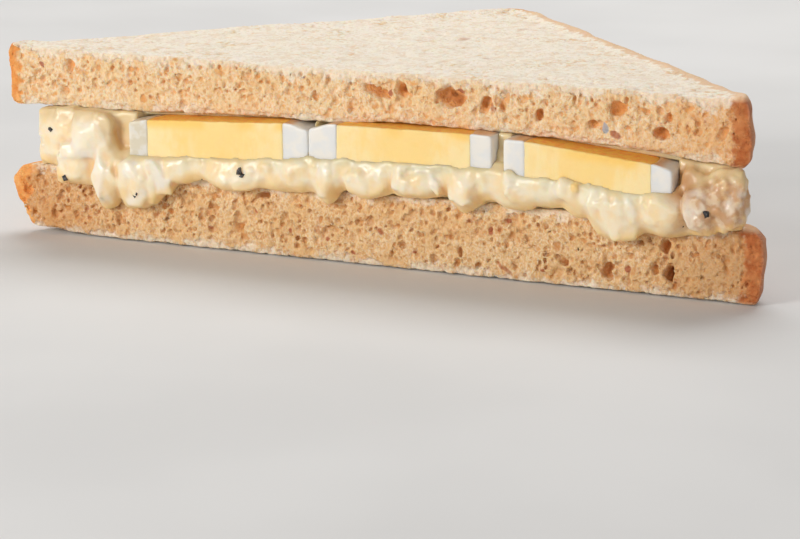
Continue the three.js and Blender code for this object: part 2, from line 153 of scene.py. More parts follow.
# Large pores at the cut, as (x, z, half width, half height, depth).
TOP_SLICE_PORES = (
    (-64.6, 34.4, 1.1, 1.6, 1.2), (-65.8, 29.6, 1.2, 1.2, 1.0), (-64.2, 27.8, 0.7, 0.7, 0.9),
    (3.4, 34.3, 3.4, 1.0, 1.9), (9.4, 35.0, 1.3, 1.6, 2.2), (19.4, 34.3, 3.1, 2.0, 2.6),
    (26.8, 33.3, 1.2, 2.0, 2.3), (37.6, 32.2, 0.9, 1.2, 2.0), (48.4, 31.2, 1.3, 1.0, 1.6),
    (52.9, 34.6, 1.8, 1.3, 1.7), (61.6, 30.4, 1.5, 1.4, 2.2), (58.6, 34.2, 0.7, 0.6, 1.0),
    (63.2, 33.5, 0.6, 0.8, 1.2), (30.0, 33.4, 0.8, 1.4, 1.4),
)
BOTTOM_SLICE_PORES = (
    (-21.3, 12.0, 1.6, 0.8, 1.8), (51.2, 3.9, 1.3, 1.8, 2.4), (63.5, 4.5, 1.2, 1.7, 3.6),
    (62.6, 9.4, 1.0, 1.6, 2.0), (-27, 5.0, 1.1, 0.9, 1.2), (9, 4.6, 1.0, 0.8, 1.2),
    (57.8, 9.6, 0.9, 0.6, 1.2), (42.6, 4.4, 1.1, 0.6, 1.4), (60.6, 5.0, 0.8, 1.0, 1.4),
)
# Random pores: (how many for each slice, smallest radius, largest radius).
PORE_SIZES = ((1700, 0.22, 0.38), (320, 0.38, 0.6), (32, 0.6, 0.9))
PORE_MIDDLES = (-0.25, 0.4)  # how far behind the cut they lie
PORE_SHAPE = (0.85, 0.9, 1.25)  # times the radius, along x, y and z
PORE_LEAN = 0.5  # in radians, on the left; on the right they stand upright
PORES_UP_TO = 76.5  # to the left and right of x = 0
PLAIN_EDGE = 1.2  # the bread's outer edge, which has no pores
# Shallow pores in the top face: (how many, smallest radius, largest radius).
TOP_FACE_PORES = ((5200, 0.25, 0.45), (240, 0.45, 0.8))
FACE_PORES_UP_TO = 78
PLAIN_RIM = 3.0  # the top face's rim, which has none
UNDERSIDE_PALE = 0.6  # how much less of the pale underside shows at the cut
# How wide the crust shows at the cut on the right, and near a slice's faces on either side.
RIGHT_CRUST = 4.1
FACE_CRUST = {"left": 0.7, "right": 3.2}

# Flecks of bran and seed at the cut, as (x, z, half width, half height, tint): 1 is reddish
# brown bran and -1 a pale grey seed.
TOP_SLICE_FLECKS = (
    (50.6, 30.7, 0.8, 1.1, -1), (52.6, 29.6, 1.3, 0.8, 0.7), (-71.0, 34.6, 0.5, 0.9, 0.9),
    (7.0, 34.2, 0.8, 0.7, 0.8), (21.4, 35.4, 1.0, 0.8, 0.9), (28.0, 33.0, 0.7, 1.4, 0.6),
    (-13, 31.2, 0.5, 0.4, 0.6), (37.6, 32.0, 0.6, 0.9, 0.9), (70.2, 33.4, 0.5, 0.5, 0.6),
    (-46, 29.8, 0.5, 0.6, 0.6), (-30.5, 33.2, 0.4, 0.5, 0.5), (61.6, 30.0, 1.0, 1.0, 0.5),
)
BOTTOM_SLICE_FLECKS = (
    (-9.2, 6.2, 1.2, 1.0, 0.5), (-15.3, 5.6, 0.6, 0.5, 0.9), (-7.2, 4.6, 0.5, 0.6, 0.9),
    (23.4, 11.0, 0.9, 0.7, 0.6), (29.6, 9.7, 0.9, 0.7, 0.5), (31.2, 11.4, 0.7, 0.6, 0.9),
    (65.0, 2.9, 1.1, 1.2, 0.45), (62.8, 7.7, 0.7, 1.0, 0.5), (51.3, 3.6, 0.9, 1.3, 0.6),
    (55.4, 4.6, 0.7, 0.7, 1), (50.2, 8.6, 0.7, 0.6, 0.5), (27.6, 9.2, 0.7, 0.9, 0.8),
    (4.3, 7.0, 0.7, 1.0, 0.7), (-23.0, 8.5, 0.6, 0.5, 0.8), (-33.2, 4.4, 0.6, 0.5, 0.7),
    (-50.0, 3.4, 0.5, 0.5, 0.7), (11.5, 3.6, 0.5, 0.4, 0.8), (30.4, 2.2, 2.6, 0.6, 0.6),
    (38.2, 2.8, 0.7, 0.5, 0.8), (-62.0, 5.6, 0.6, 0.5, 0.6), (-1.6, 2.4, 0.7, 0.5, 0.9),
)
# Tan patches on the top face, as (x, y, half width, half depth, tint).
FACE_FLECKS = (
    (3.1, 41.8, 1.6, 2.8, 0.5), (17.1, 22.2, 1.9, 1.3, 0.5), (10.3, 18.4, 1.0, 1.0, 0.45),
    (9.7, 56.4, 1.5, 3.0, 0.45), (-2.7, 9.6, 1.3, 1.3, 0.5),
)

# The lower edge of the egg mayonnaise that hangs over the bottom slice's cut, as (x, z).
HANGING_EDGE = (
    (-72.2, 15.2), (-69.6, 14.4), (-67, 13.6), (-63.6, 11.4), (-59.8, 11.4), (-56.6, 6.2),
    (-54.2, 7.2), (-52.6, 8.8), (-50.4, 7.2), (-47.4, 7.4), (-44.6, 9.4), (-41.6, 10.8),
    (-38.4, 13.6), (-34.8, 14.9), (-30.6, 13.2), (-24, 12.8), (-18.6, 14.4), (-15, 13.4),
    (-10.8, 14.4), (-6.2, 12.0), (-3.8, 14.4), (-1.4, 15.0), (2.2, 13.6), (6.4, 15.4),
    (10.6, 14.6), (16.6, 15.0), (19.4, 15.6), (23, 12.9), (27.6, 15.4), (32.2, 14.0),
    (38, 15.0), (43, 15.6), (47.2, 14.2), (50.8, 10.8), (53.6, 10.0), (57.4, 11.2),
    (60, 12.0), (65.2, 11.6), (70, 12.4), (74.6, 13.6), (79.0, 14.3),
)
# Its upper edge: under the top slice at both ends, and a little up the eggs' faces between.
APRON_TOP = (
    (-72.2, 25.4), (-57.5, 25.7), (-52.5, 18.6), (-45, 18.6), (-30, 19.5), (-15.6, 20.6),
    (-9.6, 21.5), (-3, 21.7), (9.7, 22.1), (24, 22.2), (30, 22.4), (36.9, 21.5),
    (48.8, 21.2), (59.6, 20.5), (64, 20.2), (69, 22.6), (73, 24.6), (79.0, 24.2),
)
APRON = {"bulge": 0.5, "per_hang": 0.2, "hang_from": 15.0, "from": -72.2, "to": 78.0}
# How far the upper edge stands out, as (x, y), so that it covers the foot of the eggs' faces.
APRON_COVER = ((-55, 0.2), (-50, 2.0), (28, 2.0), (34, 2.5), (62, 2.5), (68, 0.4))
# Lobes, as (x, z, half width, half height, how far out).
LOBES = (
    (-67, 20.4, 3.9, 5.0, 2.4), (-59.6, 21.2, 5.2, 4.8, 3.4), (-62.4, 14.4, 5.0, 3.6, 3.4),
    (-55.4, 12.8, 2.8, 5.8, 4.5), (-47.2, 12.4, 4.8, 4.4, 3.8), (-37.6, 16.4, 4.6, 2.8, 3.0),
    (-27.2, 16.4, 5.2, 3.2, 3.4), (-18.4, 17.0, 3.9, 3.2, 3.0), (-11.8, 17.2, 3.0, 3.2, 3.3),
    (-5.6, 16.6, 2.1, 4.2, 3.7), (2.6, 17.8, 4.7, 3.6, 3.5), (13.6, 18.2, 5.5, 3.0, 3.1),
    (23.2, 17.6, 3.4, 4.3, 4.2), (28.6, 19.0, 2.0, 2.8, 2.6), (34, 18.4, 3.8, 3.8, 3.6),
    (41, 18.6, 2.8, 2.9, 2.8), (46.6, 17.8, 3.2, 3.5, 3.6), (54.2, 15.8, 4.6, 5.2, 4.8),
    (63.6, 16.2, 4.6, 4.4, 4.8), (70.6, 18.0, 3.0, 4.8, 4.6), (75.8, 19.6, 3.3, 5.2, 2.8),
)
LOBE_MIDDLE_Y = -0.8
LOBE_PROUD = 0.3  # more than in the list
# The lobes under the eggs leave a shelf between them and the eggs' faces.
LOBE_DROP = {"from": -45, "to": 62, "by": 0.9, "flatter": 0.84}
# Chunks in the filling, as (x, z, how far out, half width, half depth, half height, turn in
# degrees, tint): 1 is egg white, 0 mayonnaise and -1 yolk.
CHUNKS = (
    (-58.4, 21.8, 3.4, 4.4, 2.2, 4.3, 6, 0.9), (-61.2, 18.4, 3.9, 4.3, 1.8, 1.9, 5, 0.9),
    (-65.2, 25.0, 1.9, 2.6, 1.8, 1.6, 10, 0.8), (-67.2, 21.4, 2.0, 2.2, 1.4, 2.4, 0, -0.3),
    (-65.0, 21.9, 2.4, 0.9, 0.8, 1.1, 0, -0.9), (-67.6, 18.0, 2.3, 1.4, 1.0, 1.2, 10, 0.5),
    (-63.2, 14.4, 3.8, 3.4, 1.6, 2.2, 4, 0.3), (-65.6, 12.9, 3.0, 1.1, 1.0, 1.8, -15, 0.8),
    (-56.2, 13.6, 4.9, 1.7, 1.5, 5.6, -9, 0.9), (-53.6, 12.6, 4.0, 1.2, 1.3, 4.4, -14, -0.12),
    (-48.7, 15.5, 4.9, 1.6, 1.3, 1.6, 4, 1), (-47.6, 10.1, 4.4, 2.6, 1.5, 2.1, -8, 1),
    (-44.4, 10.8, 3.6, 1.4, 1.2, 2.0, -30, -0.25), (-43.2, 15.6, 4.5, 1.9, 1.6, 2.9, 8, 0.85),
    (-41.4, 12.8, 4.0, 1.7, 1.2, 1.8, -6, 0.9), (-38.0, 16.2, 3.4, 2.4, 1.5, 2.4, 8, 0.1),
    (-26.4, 16.0, 3.6, 3.4, 1.5, 2.2, -4, 0.3), (-23.4, 14.2, 3.4, 2.6, 1.2, 1.0, 5, 0.8),
    (-18.6, 16.6, 3.2, 1.6, 1.3, 2.4, 10, 0.5), (-11.8, 17.4, 3.7, 2.6, 1.5, 2.4, 0, 0.35),
    (-5.9, 17.2, 3.9, 1.3, 1.3, 3.8, -7, 0.8), (-9.6, 23.4, 2.9, 0.45, 0.8, 2.4, 0, 0.2),
    (0.6, 17.4, 4.0, 2.4, 1.6, 2.0, 14, 0.4), (4.9, 17.6, 3.5, 2.6, 1.5, 2.7, -4, -0.05),
    (9.9, 18.8, 4.0, 0.9, 1.1, 2.6, -6, 0.8), (13.6, 17.6, 3.9, 3.2, 1.5, 2.0, 0, 0.2),
    (17.6, 18.0, 3.8, 0.9, 1.1, 2.4, 4, 0.7), (23.2, 17.6, 4.6, 2.5, 1.8, 3.2, 0, 0.2),
    (28.3, 19.2, 3.1, 1.5, 1.2, 1.8, 10, 0.2), (30.3, 22.8, 0.4, 1.5, 2.0, 2.4, 0, -0.4),
    (33.2, 19.2, 4.2, 1.2, 1.2, 3.0, -4, 0.6), (37.6, 18.6, 3.6, 2.8, 1.5, 2.6, -6, -0.05),
    (44.6, 19.4, 4.5, 2.2, 1.5, 2.2, -8, 0.4), (46.4, 20.1, 4.8, 0.8, 0.7, 0.9, 6, -0.8),
    (49.9, 17.6, 4.5, 1.2, 1.3, 2.8, -14, 0.5), (52.3, 17.2, 4.7, 0.9, 1.2, 2.9, -16, 0.8),
    (55.0, 17.4, 4.7, 0.9, 1.2, 3.1, -12, 0.8), (57.6, 17.0, 4.6, 0.9, 1.2, 3.0, 12, 0.7),
    (56.0, 12.8, 4.6, 3.0, 1.5, 2.0, -6, -0.12), (63.4, 17.6, 4.6, 3.0, 1.5, 2.8, 8, 0.1),
    (69.6, 17.8, 4.7, 2.4, 1.8, 3.8, 6, 0.85), (68.0, 23.2, 1.6, 2.0, 1.4, 1.6, -20, -0.1),
    (73.6, 21.8, 3.2, 1.3, 1.1, 1.2, 28, 0.8), (76.3, 23.8, 2.0, 1.9, 1.3, 1.3, 18, 0.5),
    (77.2, 20.4, 2.4, 1.3, 1.2, 1.2, -16, 0.8), (78.0, 17.8, 1.8, 1.1, 1.1, 1.3, 10, 0.9),
    (75.8, 15.8, 3.0, 1.2, 1.1, 1.2, 30, 0.6), (74.6, 18.6, 3.0, 1.1, 1.0, 1.2, 0, 0.7),
    (78.4, 22.6, 1.2, 0.6, 0.6, 0.9, 0, -0.8), (74.2, 15.6, 3.0, 0.8, 0.7, 0.9, 10, -1),
)
# Small bits of egg scattered over the filling: (how many, smallest, largest half size, tint).
BITS = ((36, 0.3, 0.6, 0.7), (18, 0.25, 0.45, -0.6))
# The bits of its finely chopped right end, which lie closer towards the end.
CHOPPED = {"from": 70.0, "to": 78, "count": 90, "smallest": 0.4, "largest": 1.1}
# Where the hollow beside the left egg slice is, as (x, y, z) and its radii.
HOLLOW = ((-51.3, -3.3, 21.4), (2.1, 2.3, 4.4))
# From here to the right the filling is chopped finer; from tan_from on, painted tan shade darkens
# it.
ROUGH_END = {"from": 71.0, "tan_from": 63.0, "over": 8.0}
# The tan shade beside the right egg slice.
SHADE = {"x": 66.3, "z": 22.0, "reach": 3.2}
FARTHEST = 4.75  # how far out anything in the filling may reach

# Flakes of ground pepper, as (x, z, size).
PEPPER = (
    (-24.1, 17.4, 1.35), (-23.6, 16.5, 0.9), (-64.2, 12.7, 1.0), (-67.9, 22.1, 0.9),
    (72.2, 17.5, 1.4), (-47.6, 10.6, 0.7), (-47.0, 11.0, 0.5),
    (-33.6, 14.6, 0.3), (58.8, 20.6, 0.35), (17.6, 19.6, 0.3), (67.0, 14.2, 0.35),
)

# From the crust to the filling: at both ends of the cut and, past the length fade, at the back.
FILLING_INSET = {"left": 7.2, "right": 2.6, "back": 2.6, "fade": 12.0}

# Egg slices, as in the solids: lean is the rise to the right, behind the distance from the cut
# face back to the centre, and drops how much lower the top is at its left and right ends.
EGG_FACE_Y = -2.5
EGGS = {
    "left": {"x": -29.7, "z": 22.3, "lean": 0.05, "behind": 1.0, "radius": 20.05, "yolk": 15.1,
             "yolk_x": -0.6, "thickness": 7.4, "face": EGG_FACE_Y, "drops": (0.5, 1.2)},
    "middle": {"x": 9.7, "z": 23.7, "lean": 0.012, "behind": 1.0, "radius": 19.3, "yolk": 14.0,
               "yolk_x": 0.9, "thickness": 7.6, "face": EGG_FACE_Y, "drops": (1.2, 0.2)},
    "right": {"x": 48.3, "z": 22.5, "lean": -0.09, "behind": 2.0, "radius": 16.8, "yolk": 12.6,
              "yolk_x": 0.1, "thickness": 7.2, "face": EGG_FACE_Y - 0.5, "drops": (0.3, 0.6)},
}
# How much closer than the solids the egg slices come to the bread above them.
TALLER = 0.55
COATED_UP_TO = -44.5  # left of this x, mayonnaise coats the egg white

# The photograph's camera, fitted to the sandwich's outline. Distances in mm from the cut frame.
CAMERA = {"focal_px": 2916.7, "distance": 560.0, "turn": 26.153, "height": 14.065,
          "roll": -0.809, "target": (8.495, 0.0, -0.039)}
PICTURE_WIDTH = 800
# Area lights, as (name, place, width and height, watts, colour), and what they aim at, in metres
# in the shared frame.
LIGHTS = (
    ("key", (-0.42, -0.77, 0.31), (0.3, 0.3), 4.8, (1.0, 0.98, 0.95)),
    ("overhead", (-0.1, 0.42, 0.68), (0.8, 0.4), 4.8, (1.0, 0.99, 0.97)),
    ("fill", (0.4, -0.7, 0.25), (0.7, 0.5), 0.9, (1.0, 0.98, 0.96)),
)
AIM = (0, -0.03, 0.02)
WORLD_STRENGTH = 0.25

# ---- Numbers ----


def smoothstep(t):
    s = np.clip(t, 0, 1)
    return s * s * (3 - 2 * s)


def mix(low, high, share):
    return low + (high - low) * share


def along(points, position):
    """A smooth value between the points of a list of (position, value)."""
    at, value = np.array(points, np.float32).T
    position = np.clip(position, at[0], at[-1])
    i = np.clip(np.searchsorted(at, position, side="right") - 1, 0, len(at) - 2)
    share = smoothstep((position - at[i]) / (at[i + 1] - at[i]))
    return (value[i] + (value[i + 1] - value[i]) * share).astype(np.float32)


def rightwards(x, over):
    """0 on the left and 1 on the right of x = 0, and smooth between."""
    return smoothstep(0.5 + x / over)


def smooth_max(a, b, blend):
    """The larger of two distances, with the edge between them rounded over blend."""
    h = np.maximum(blend - np.abs(a - b), 0) / blend
    return np.maximum(a, b) + h * h * blend * 0.25


def smooth_min(a, b, blend):
    return -smooth_max(-a, -b, blend)


def turn_matrix(lean, rng, wobble):
    """The rows of a turn by lean in the cut's plane, and of a random turn of up to wobble."""
    a, b, c = rng.uniform(-wobble, wobble, 3)
    tilt = Matrix.Rotation(lean + b, 3, "Y")
    return np.array(tilt @ Matrix.Rotation(a, 3, "X") @ Matrix.Rotation(c, 3, "Z"), np.float32)


# ---- Distance fields on a grid ----


def spaced(start, end, step):
    return np.arange(start, end + step, step, dtype=np.float32)


def graded(start, fine_end, end, fine, growth, coarse):
    """Coordinates with a fine step up to fine_end, and steps that grow to coarse after it."""
    values = list(spaced(start, fine_end, fine))
    step = fine
    while values[-1] < end:
        step = min(step * growth, coarse)
        values.append(values[-1] + step)
    return np.array(values, np.float32)


class Volume:
    """A distance field on a grid, below 0 inside, with a tint field for the colours."""

    def __init__(self, xs, ys, zs):
        self.axes = (xs, ys, zs)
        self.x = xs[:, None, None]
        self.y = ys[None, :, None]
        self.z = zs[None, None, :]
        self.field = np.full((len(xs), len(ys), len(zs)), 9, np.float32)
        self.tint = np.zeros_like(self.field)

    def noise(self, cell, rng):
        """Smooth random values from -1 to 1 with the given grain in mm."""
        grain = np.broadcast_to(np.float32(cell), 3)
        lows, shares = [], []
        for axis, size in zip(self.axes, grain):
            at = (axis - axis[0]) / size
            low = np.floor(at).astype(int)
            lows.append(low)
            shares.append(smoothstep(at - low).astype(np.float32))
        values = rng.uniform(-1, 1, [low[-1] + 2 for low in lows]).astype(np.float32)
        for n, (low, share) in enumerate(zip(lows, shares)):
            shape = [1, 1, 1]
            shape[n] = -1
            before = np.take(values, low, axis=n)
            after = np.take(values, low + 1, axis=n)
            values = mix(before, after, share.reshape(shape))
        return values

    def block(self, centre, reach):
        """The slices of the grid within reach of a centre."""
        picks = []
        for axis, at in zip(self.axes, centre):
            low, high = np.searchsorted(axis, (at - reach, at + reach))
            picks.append(slice(low, high))
        return tuple(picks)

    def local(self, picks, centre, turn):
        """The block's points, seen from a centre and along its own turned axes."""
        x = self.axes[0][picks[0]][:, None, None] - np.float32(centre[0])
        y = self.axes[1][picks[1]][None, :, None] - np.float32(centre[1])
        z = self.axes[2][picks[2]][None, None, :] - np.float32(centre[2])
        return tuple(row[0] * x + row[1] * y + row[2] * z for row in turn)

    def ellipsoid(self, centre, radii, turn, margin=1.5):
        """The block around an ellipsoid and the distance to it there."""
        picks = self.block(centre, max(radii) + margin)
        u, v, w = self.local(picks, centre, turn)
        a, b, c = (np.float32(1 / r) for r in radii)
        near = np.sqrt((u * a) ** 2 + (v * b) ** 2 + (w * c) ** 2)
        slope = np.sqrt((u * a * a) ** 2 + (v * b * b) ** 2 + (w * c * c) ** 2)
        return picks, near * (near - 1) / np.maximum(slope, 1e-4)

    def chunk(self, centre, halves, turn, bevel):
        """The block around a box with rounded edges and the distance to it there."""
        picks = self.block(centre, float(np.linalg.norm(halves)) + 1.5)
        outer = [np.abs(d) - (h - bevel) for d, h in zip(self.local(picks, centre, turn), halves)]
        outside = np.sqrt(sum(np.maximum(d, 0) ** 2 for d in outer))
        inside = np.minimum(np.maximum(np.maximum(outer[0], outer[1]), outer[2]), 0)
        return picks, outside + inside - bevel

    def add(self, piece, blend):
        picks, distance = piece
        self.field[picks] = smooth_min(self.field[picks], distance, blend)

    def dig(self, piece, blend):
        picks, distance = piece
        self.field[picks] = smooth_max(self.field[picks], -distance, blend)

    def colour(self, piece, value, depth):
        """Mixes the tint towards value inside the piece and within depth of its surface."""
        picks, distance = piece
        share = smoothstep(0.5 - distance / depth)
        self.tint[picks] = mix(self.tint[picks], value, share)

    def fronts(self):
        """The y of the first surface met from the front, for each x and z."""
        inside = self.field < 0
        first = np.argmax(inside, axis=1)
        return np.where(inside.any(axis=1), self.axes[1][first], 99)

    def cells_at(self, x, z):
        i = np.clip(np.searchsorted(self.axes[0], x), 0, len(self.axes[0]) - 1)
        k = np.clip(np.searchsorted(self.axes[2], z), 0, len(self.axes[2]) - 1)
        return i, k

    def cavity(self, points, cells):
        """How far a point lies in a hollow, above 0, or on a bulge, below 0."""
        values = np.clip(self.field, -2, 2)
        width = 2 * cells + 1
        for axis in range(3):
            rows = np.moveaxis(values, axis, 0)
            rows = np.pad(rows, ((cells + 1, cells), (0, 0), (0, 0)), mode="edge")
            total = np.cumsum(rows, axis=0, dtype=np.float64)
            values = np.moveaxis((total[width:] - total[:-width]) / width, 0, axis)
        return -self.sample(values, points)

    def sample(self, values, points):
        """values of the grid at points, read between the grid's own points."""
        result = np.zeros(len(points), np.float32)
        lows, shares = [], []
        for axis, at in zip(self.axes, points.T):
            low = np.clip(np.searchsorted(axis, at, side="right") - 1, 0, len(axis) - 2)
            lows.append(low)
            shares.append((at - axis[low]) / (axis[low + 1] - axis[low]))
        for corner in CORNERS:
            weight = 1.0
            for step, share in zip(corner, shares):
                weight = weight * (share if step else 1 - share)
            i, j, k = (low + step for low, step in zip(lows, corner))
            result += weight * values[i, j, k]
        return result


# The corners of a grid's cell, and its edges as pairs of corners.
CORNERS = [(i, j, k) for i in (0, 1) for j in (0, 1) for k in (0, 1)]
EDGES = [(a, b) for a in range(8) for b in range(a + 1, 8)
         if sum(p != q for p, q in zip(CORNERS[a], CORNERS[b])) == 1]


def surface_of(volume):
    """The field's zero surface: one point in each cell that it crosses, joined by quads. Only
    its largest connected part is given."""
    field = volume.field
    inside = field < 0
    nx, ny, nz = field.shape
    count = sum(
        inside[i:nx - 1 + i, j:ny - 1 + j, k:nz - 1 + k].astype(np.int8) for i, j, k in CORNERS
    )
    cells = np.argwhere((count > 0) & (count < 8))
    index = np.full((nx - 1, ny - 1, nz - 1), -1, np.int64)
    index[tuple(cells.T)] = np.arange(len(cells))
    at = [cells + corner for corner in CORNERS]
    value = [field[tuple(c.T)] for c in at]
    place = [np.stack([axis[c[:, n]] for n, axis in enumerate(volume.axes)], 1) for c in at]
    total = np.zeros((len(cells), 3), np.float32)
    crossings = np.zeros((len(cells), 1), np.float32)
    for a, b in EDGES:
        crosses = (value[a] < 0) != (value[b] < 0)
        gap = np.where(crosses, value[a] - value[b], 1)
        share = np.where(crosses, value[a] / gap, 0)[:, None]
        point = mix(place[a], place[b], share)
        total += np.where(crosses[:, None], point, 0)
        crossings += crosses[:, None]
    quads = []
    for n in range(3):
        p, q = [axis for axis in range(3) if axis != n]
        first = [slice(1, -1)] * 3
        second = [slice(1, -1)] * 3
        first[n] = slice(None, -1)
        second[n] = slice(1, None)
        found = np.argwhere(inside[tuple(first)] != inside[tuple(second)])
        found[:, p] += 1
        found[:, q] += 1
        leaves = inside[tuple(found.T)]
        ring = []
        for dp, dq in ((-1, -1), (0, -1), (0, 0), (-1, 0)):
            cell = found.copy()
            cell[:, p] += dp
            cell[:, q] += dq
            ring.append(index[tuple(cell.T)])
        ring = np.stack(ring, 1)
        turned = leaves if n != 1 else ~leaves
        quads.append(np.where(turned[:, None], ring, ring[:, ::-1]))
    return largest_part(total / crossings, np.concatenate(quads))


def largest_part(points, quads):
    """Drops sealed pores and loose crumbs: only the largest connected surface stays.

    Each point takes the lowest number in the faces round it until none changes any more.
    """
    label = np.arange(len(points))
    a = quads.ravel()
    b = np.roll(quads, 1, axis=1).ravel()
    while True:
        low = np.minimum(label[a], label[b])
        new = label.copy()
        np.minimum.at(new, a, low)
        np.minimum.at(new, b, low)
        new = new[new]
        if np.array_equal(new, label):
            break
        label = new
    names, counts = np.unique(label, return_counts=True)
    keep = label == names[np.argmax(counts)]
    renumber = np.cumsum(keep) - 1
    return points[keep], renumber[quads[keep[quads[:, 0]]]]


def mesh_object(name, points, quads, material, attributes=None):
    """A closed, smooth-shaded mesh from cut-frame millimetres, riding on the sandwich."""
    mesh = bpy.data.meshes.new(name)
    mesh.vertices.add(len(points))
    placed = (points - np.array(ORIGIN, np.float32)) * MM
    mesh.vertices.foreach_set("co", placed.astype(np.float32).ravel())
    mesh.loops.add(quads.size)
    mesh.loops.foreach_set("vertex_index", quads.ravel().astype(np.int32))
    mesh.polygons.add(len(quads))
    mesh.polygons.foreach_set("loop_start", np.arange(0, quads.size, 4, dtype=np.int32))
    for key, values in (attributes or {}).items():
        layer = mesh.attributes.new(key, "FLOAT", "POINT")
        layer.data.foreach_set("value", values.astype(np.float32))
    mesh.update(calc_edges=True)
    mesh.materials.append(material)
    piece = bpy.data.objects.new(name, mesh)
    bpy.context.scene.collection.objects.link(piece)
    thin_out(piece)
    keep_in_box(piece.data)
    piece.data.polygons.foreach_set("use_smooth", np.ones(len(piece.data.polygons), bool))
    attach(piece, "root")
    return piece


def thin_out(piece):
    """Joins faces where the surface is plainest, down to MOST_TRIANGLES."""
    piece.data.calc_loop_triangles()
    share = MOST_TRIANGLES / len(piece.data.loop_triangles)
    if share >= 1:
        return
    modifier = piece.modifiers.new("thin_out", "DECIMATE")
    modifier.ratio = share
    depsgraph = bpy.context.evaluated_depsgraph_get()
    full = piece.data
    piece.data = bpy.data.meshes.new_from_object(piece.evaluated_get(depsgraph))
    piece.modifiers.clear()
    bpy.data.meshes.remove(full)


def keep_in_box(mesh):
    """Moves what stands out of the solids' box back to it."""
    places = np.empty(3 * len(mesh.vertices), np.float32)
    mesh.vertices.foreach_get("co", places)
    kept = np.clip(places.reshape(-1, 3), LOWEST, HIGHEST).astype(np.float32)
    mesh.vertices.foreach_set("co", kept.ravel())


# ---- The slices' shapes ----


def plan_distance(x, y):
    """Distance to the square slice's round-cornered outline, below 0 inside."""
    half = SLICE_SIDE / 2 - CORNER_RADIUS
    a = np.abs(x + y) / math.sqrt(2) - half
    b = np.abs(x - y) / math.sqrt(2) - half
    outside = np.sqrt(np.maximum(a, 0) ** 2 + np.maximum(b, 0) ** 2)
    waist = WAIST["depth"] * np.exp(-(((y - WAIST["y"]) / WAIST["spread"]) ** 2)) * (x < 0)
    return outside + np.minimum(np.maximum(a, b), 0) - CORNER_RADIUS + waist / math.sqrt(2)


def outline_distance(bread, x, y):
    """Distance to a slice's outline, whose right half may reach further."""
    stretch = np.where(x > 0, 1 + bread["reach"] / HALF_DIAGONAL, 1)
    return plan_distance(x / stretch, y)


def uneven(x, y, phase):
    return (
        0.5 * np.sin(0.21 * x + 1.7 * phase) * np.cos(0.17 * y + phase)
        + 0.3 * np.sin(0.47 * x - 0.31 * y + 2.3 * phase)
        + 0.2 * np.sin(0.9 * y + 0.13 * x + phase)
    )


def at_the_cut(y):
    return np.exp(-((y / FADE) ** 2))


def from_crust(x, y):
    return np.maximum(-plan_distance(x, y), 0)


def top_slice_upper(x, y):
    rim = CRUST_RIM["rise"] * np.exp(-((from_crust(x, y) / CRUST_RIM["width"]) ** 2))
    flat = mix(BACK["top_upper"], along(TOP_SLICE_UPPER, x), at_the_cut(y))
    return flat + rim * (1 - at_the_cut(y)) + 0.22 * uneven(x, y, 1)


def top_slice_under(x, y):
    inner = along(TOP_SLICE_UNDER, x)
    back = mix(BACK["top_under"], inner, smoothstep(from_crust(x, y) / BOWED))
    return mix(back, inner, at_the_cut(y))


def bottom_slice_upper(x, y):
    flat = mix(BACK["bottom_upper"], along(BOTTOM_SLICE_UPPER, x), at_the_cut(y))
    return flat + 0.15 * uneven(x, y, 3) * smoothstep(y / 10)


def bottom_slice_under(x, y):
    away = np.hypot(x - CURL["x"], y)
    return CURL["rise"] * (1 - smoothstep(away / CURL["reach"]))


# span is the grid's range of heights, pale_from how much less of the pale upper face shows at the
# cut, left_width the crust's width low and high on the left end, and near_crust how much the
# crumb darkens towards the crust on the left and on the right; on the right it darkens towards
# right_end_shade, painted shade of the darker right end.
TOP_SLICE = {
    "name": "top_slice", "node": "bread_top", "upper": top_slice_upper,
    "under": top_slice_under, "left": TOP_LEFT_EDGE, "right": TOP_RIGHT_EDGE,
    "cut": TOP_CUT_EDGE, "pores": TOP_SLICE_PORES, "flecks": TOP_SLICE_FLECKS,
    "face_pores": TOP_FACE_PORES, "face_flecks": FACE_FLECKS, "reach": 0.0, "seed": 3,
    "span": (24.6, 39.2), "pale_from": 0.0,
    # deep is the crumb's painted shade colour, for its pits, hollows and sunk places.
    "light": (242, 222, 192), "middle": (237, 200, 148), "deep": (226, 144, 52),
    "left_width": (2.8, 2.8), "near_crust": (0.0, 0.4), "right_end_shade": (222, 152, 84),
}
BOTTOM_SLICE = {
    "name": "bottom_slice", "node": "bread_bottom", "upper": bottom_slice_upper,
    "under": bottom_slice_under, "left": BOTTOM_LEFT_EDGE, "right": BOTTOM_RIGHT_EDGE,
    "cut": BOTTOM_CUT_EDGE, "pores": BOTTOM_SLICE_PORES, "flecks": BOTTOM_SLICE_FLECKS,
    "face_pores": (), "face_flecks": (), "reach": BOTTOM_REACH, "seed": 8,
    "span": (-0.6, 15.2), "pale_from": 0.6,
    # Darker than the top slice's crumb, partly its own colour and partly painted shade of the
    # lower slice.
    "light": (238, 212, 174), "middle": (228, 185, 130), "deep": (198, 120, 44),
    "left_width": (1.4, 4.6), "near_crust": (0.45, 0.7), "right_end_shade": (194, 142, 90),
}


def slice_depths(bread, x, y, z):
    """How deep points lie below a slice's upper face, above its lower one, in from its crust and
    in from its cut, and their level between the faces, from 0 to 1."""
    upper = bread["upper"](x, y)
    under = bread["under"](x, y)
    level = np.clip((z - under) / (upper - under), 0, 1)
    inset = mix(along(bread["left"], level), along(bread["right"], level), rightwards(x, 10))
    from_cut = y - along(bread["cut"], level)
    return upper - z, z - under, -(outline_distance(bread, x, y) + inset), from_cut, level


def slice_distance(volume, bread):
    """Distances to a slice's faces, its crust and its cut, each below 0 inside."""
    below, above, crust, cut, _ = slice_depths(bread, volume.x, volume.y, volume.z)
    return np.maximum(-below, -above), -crust, -cut


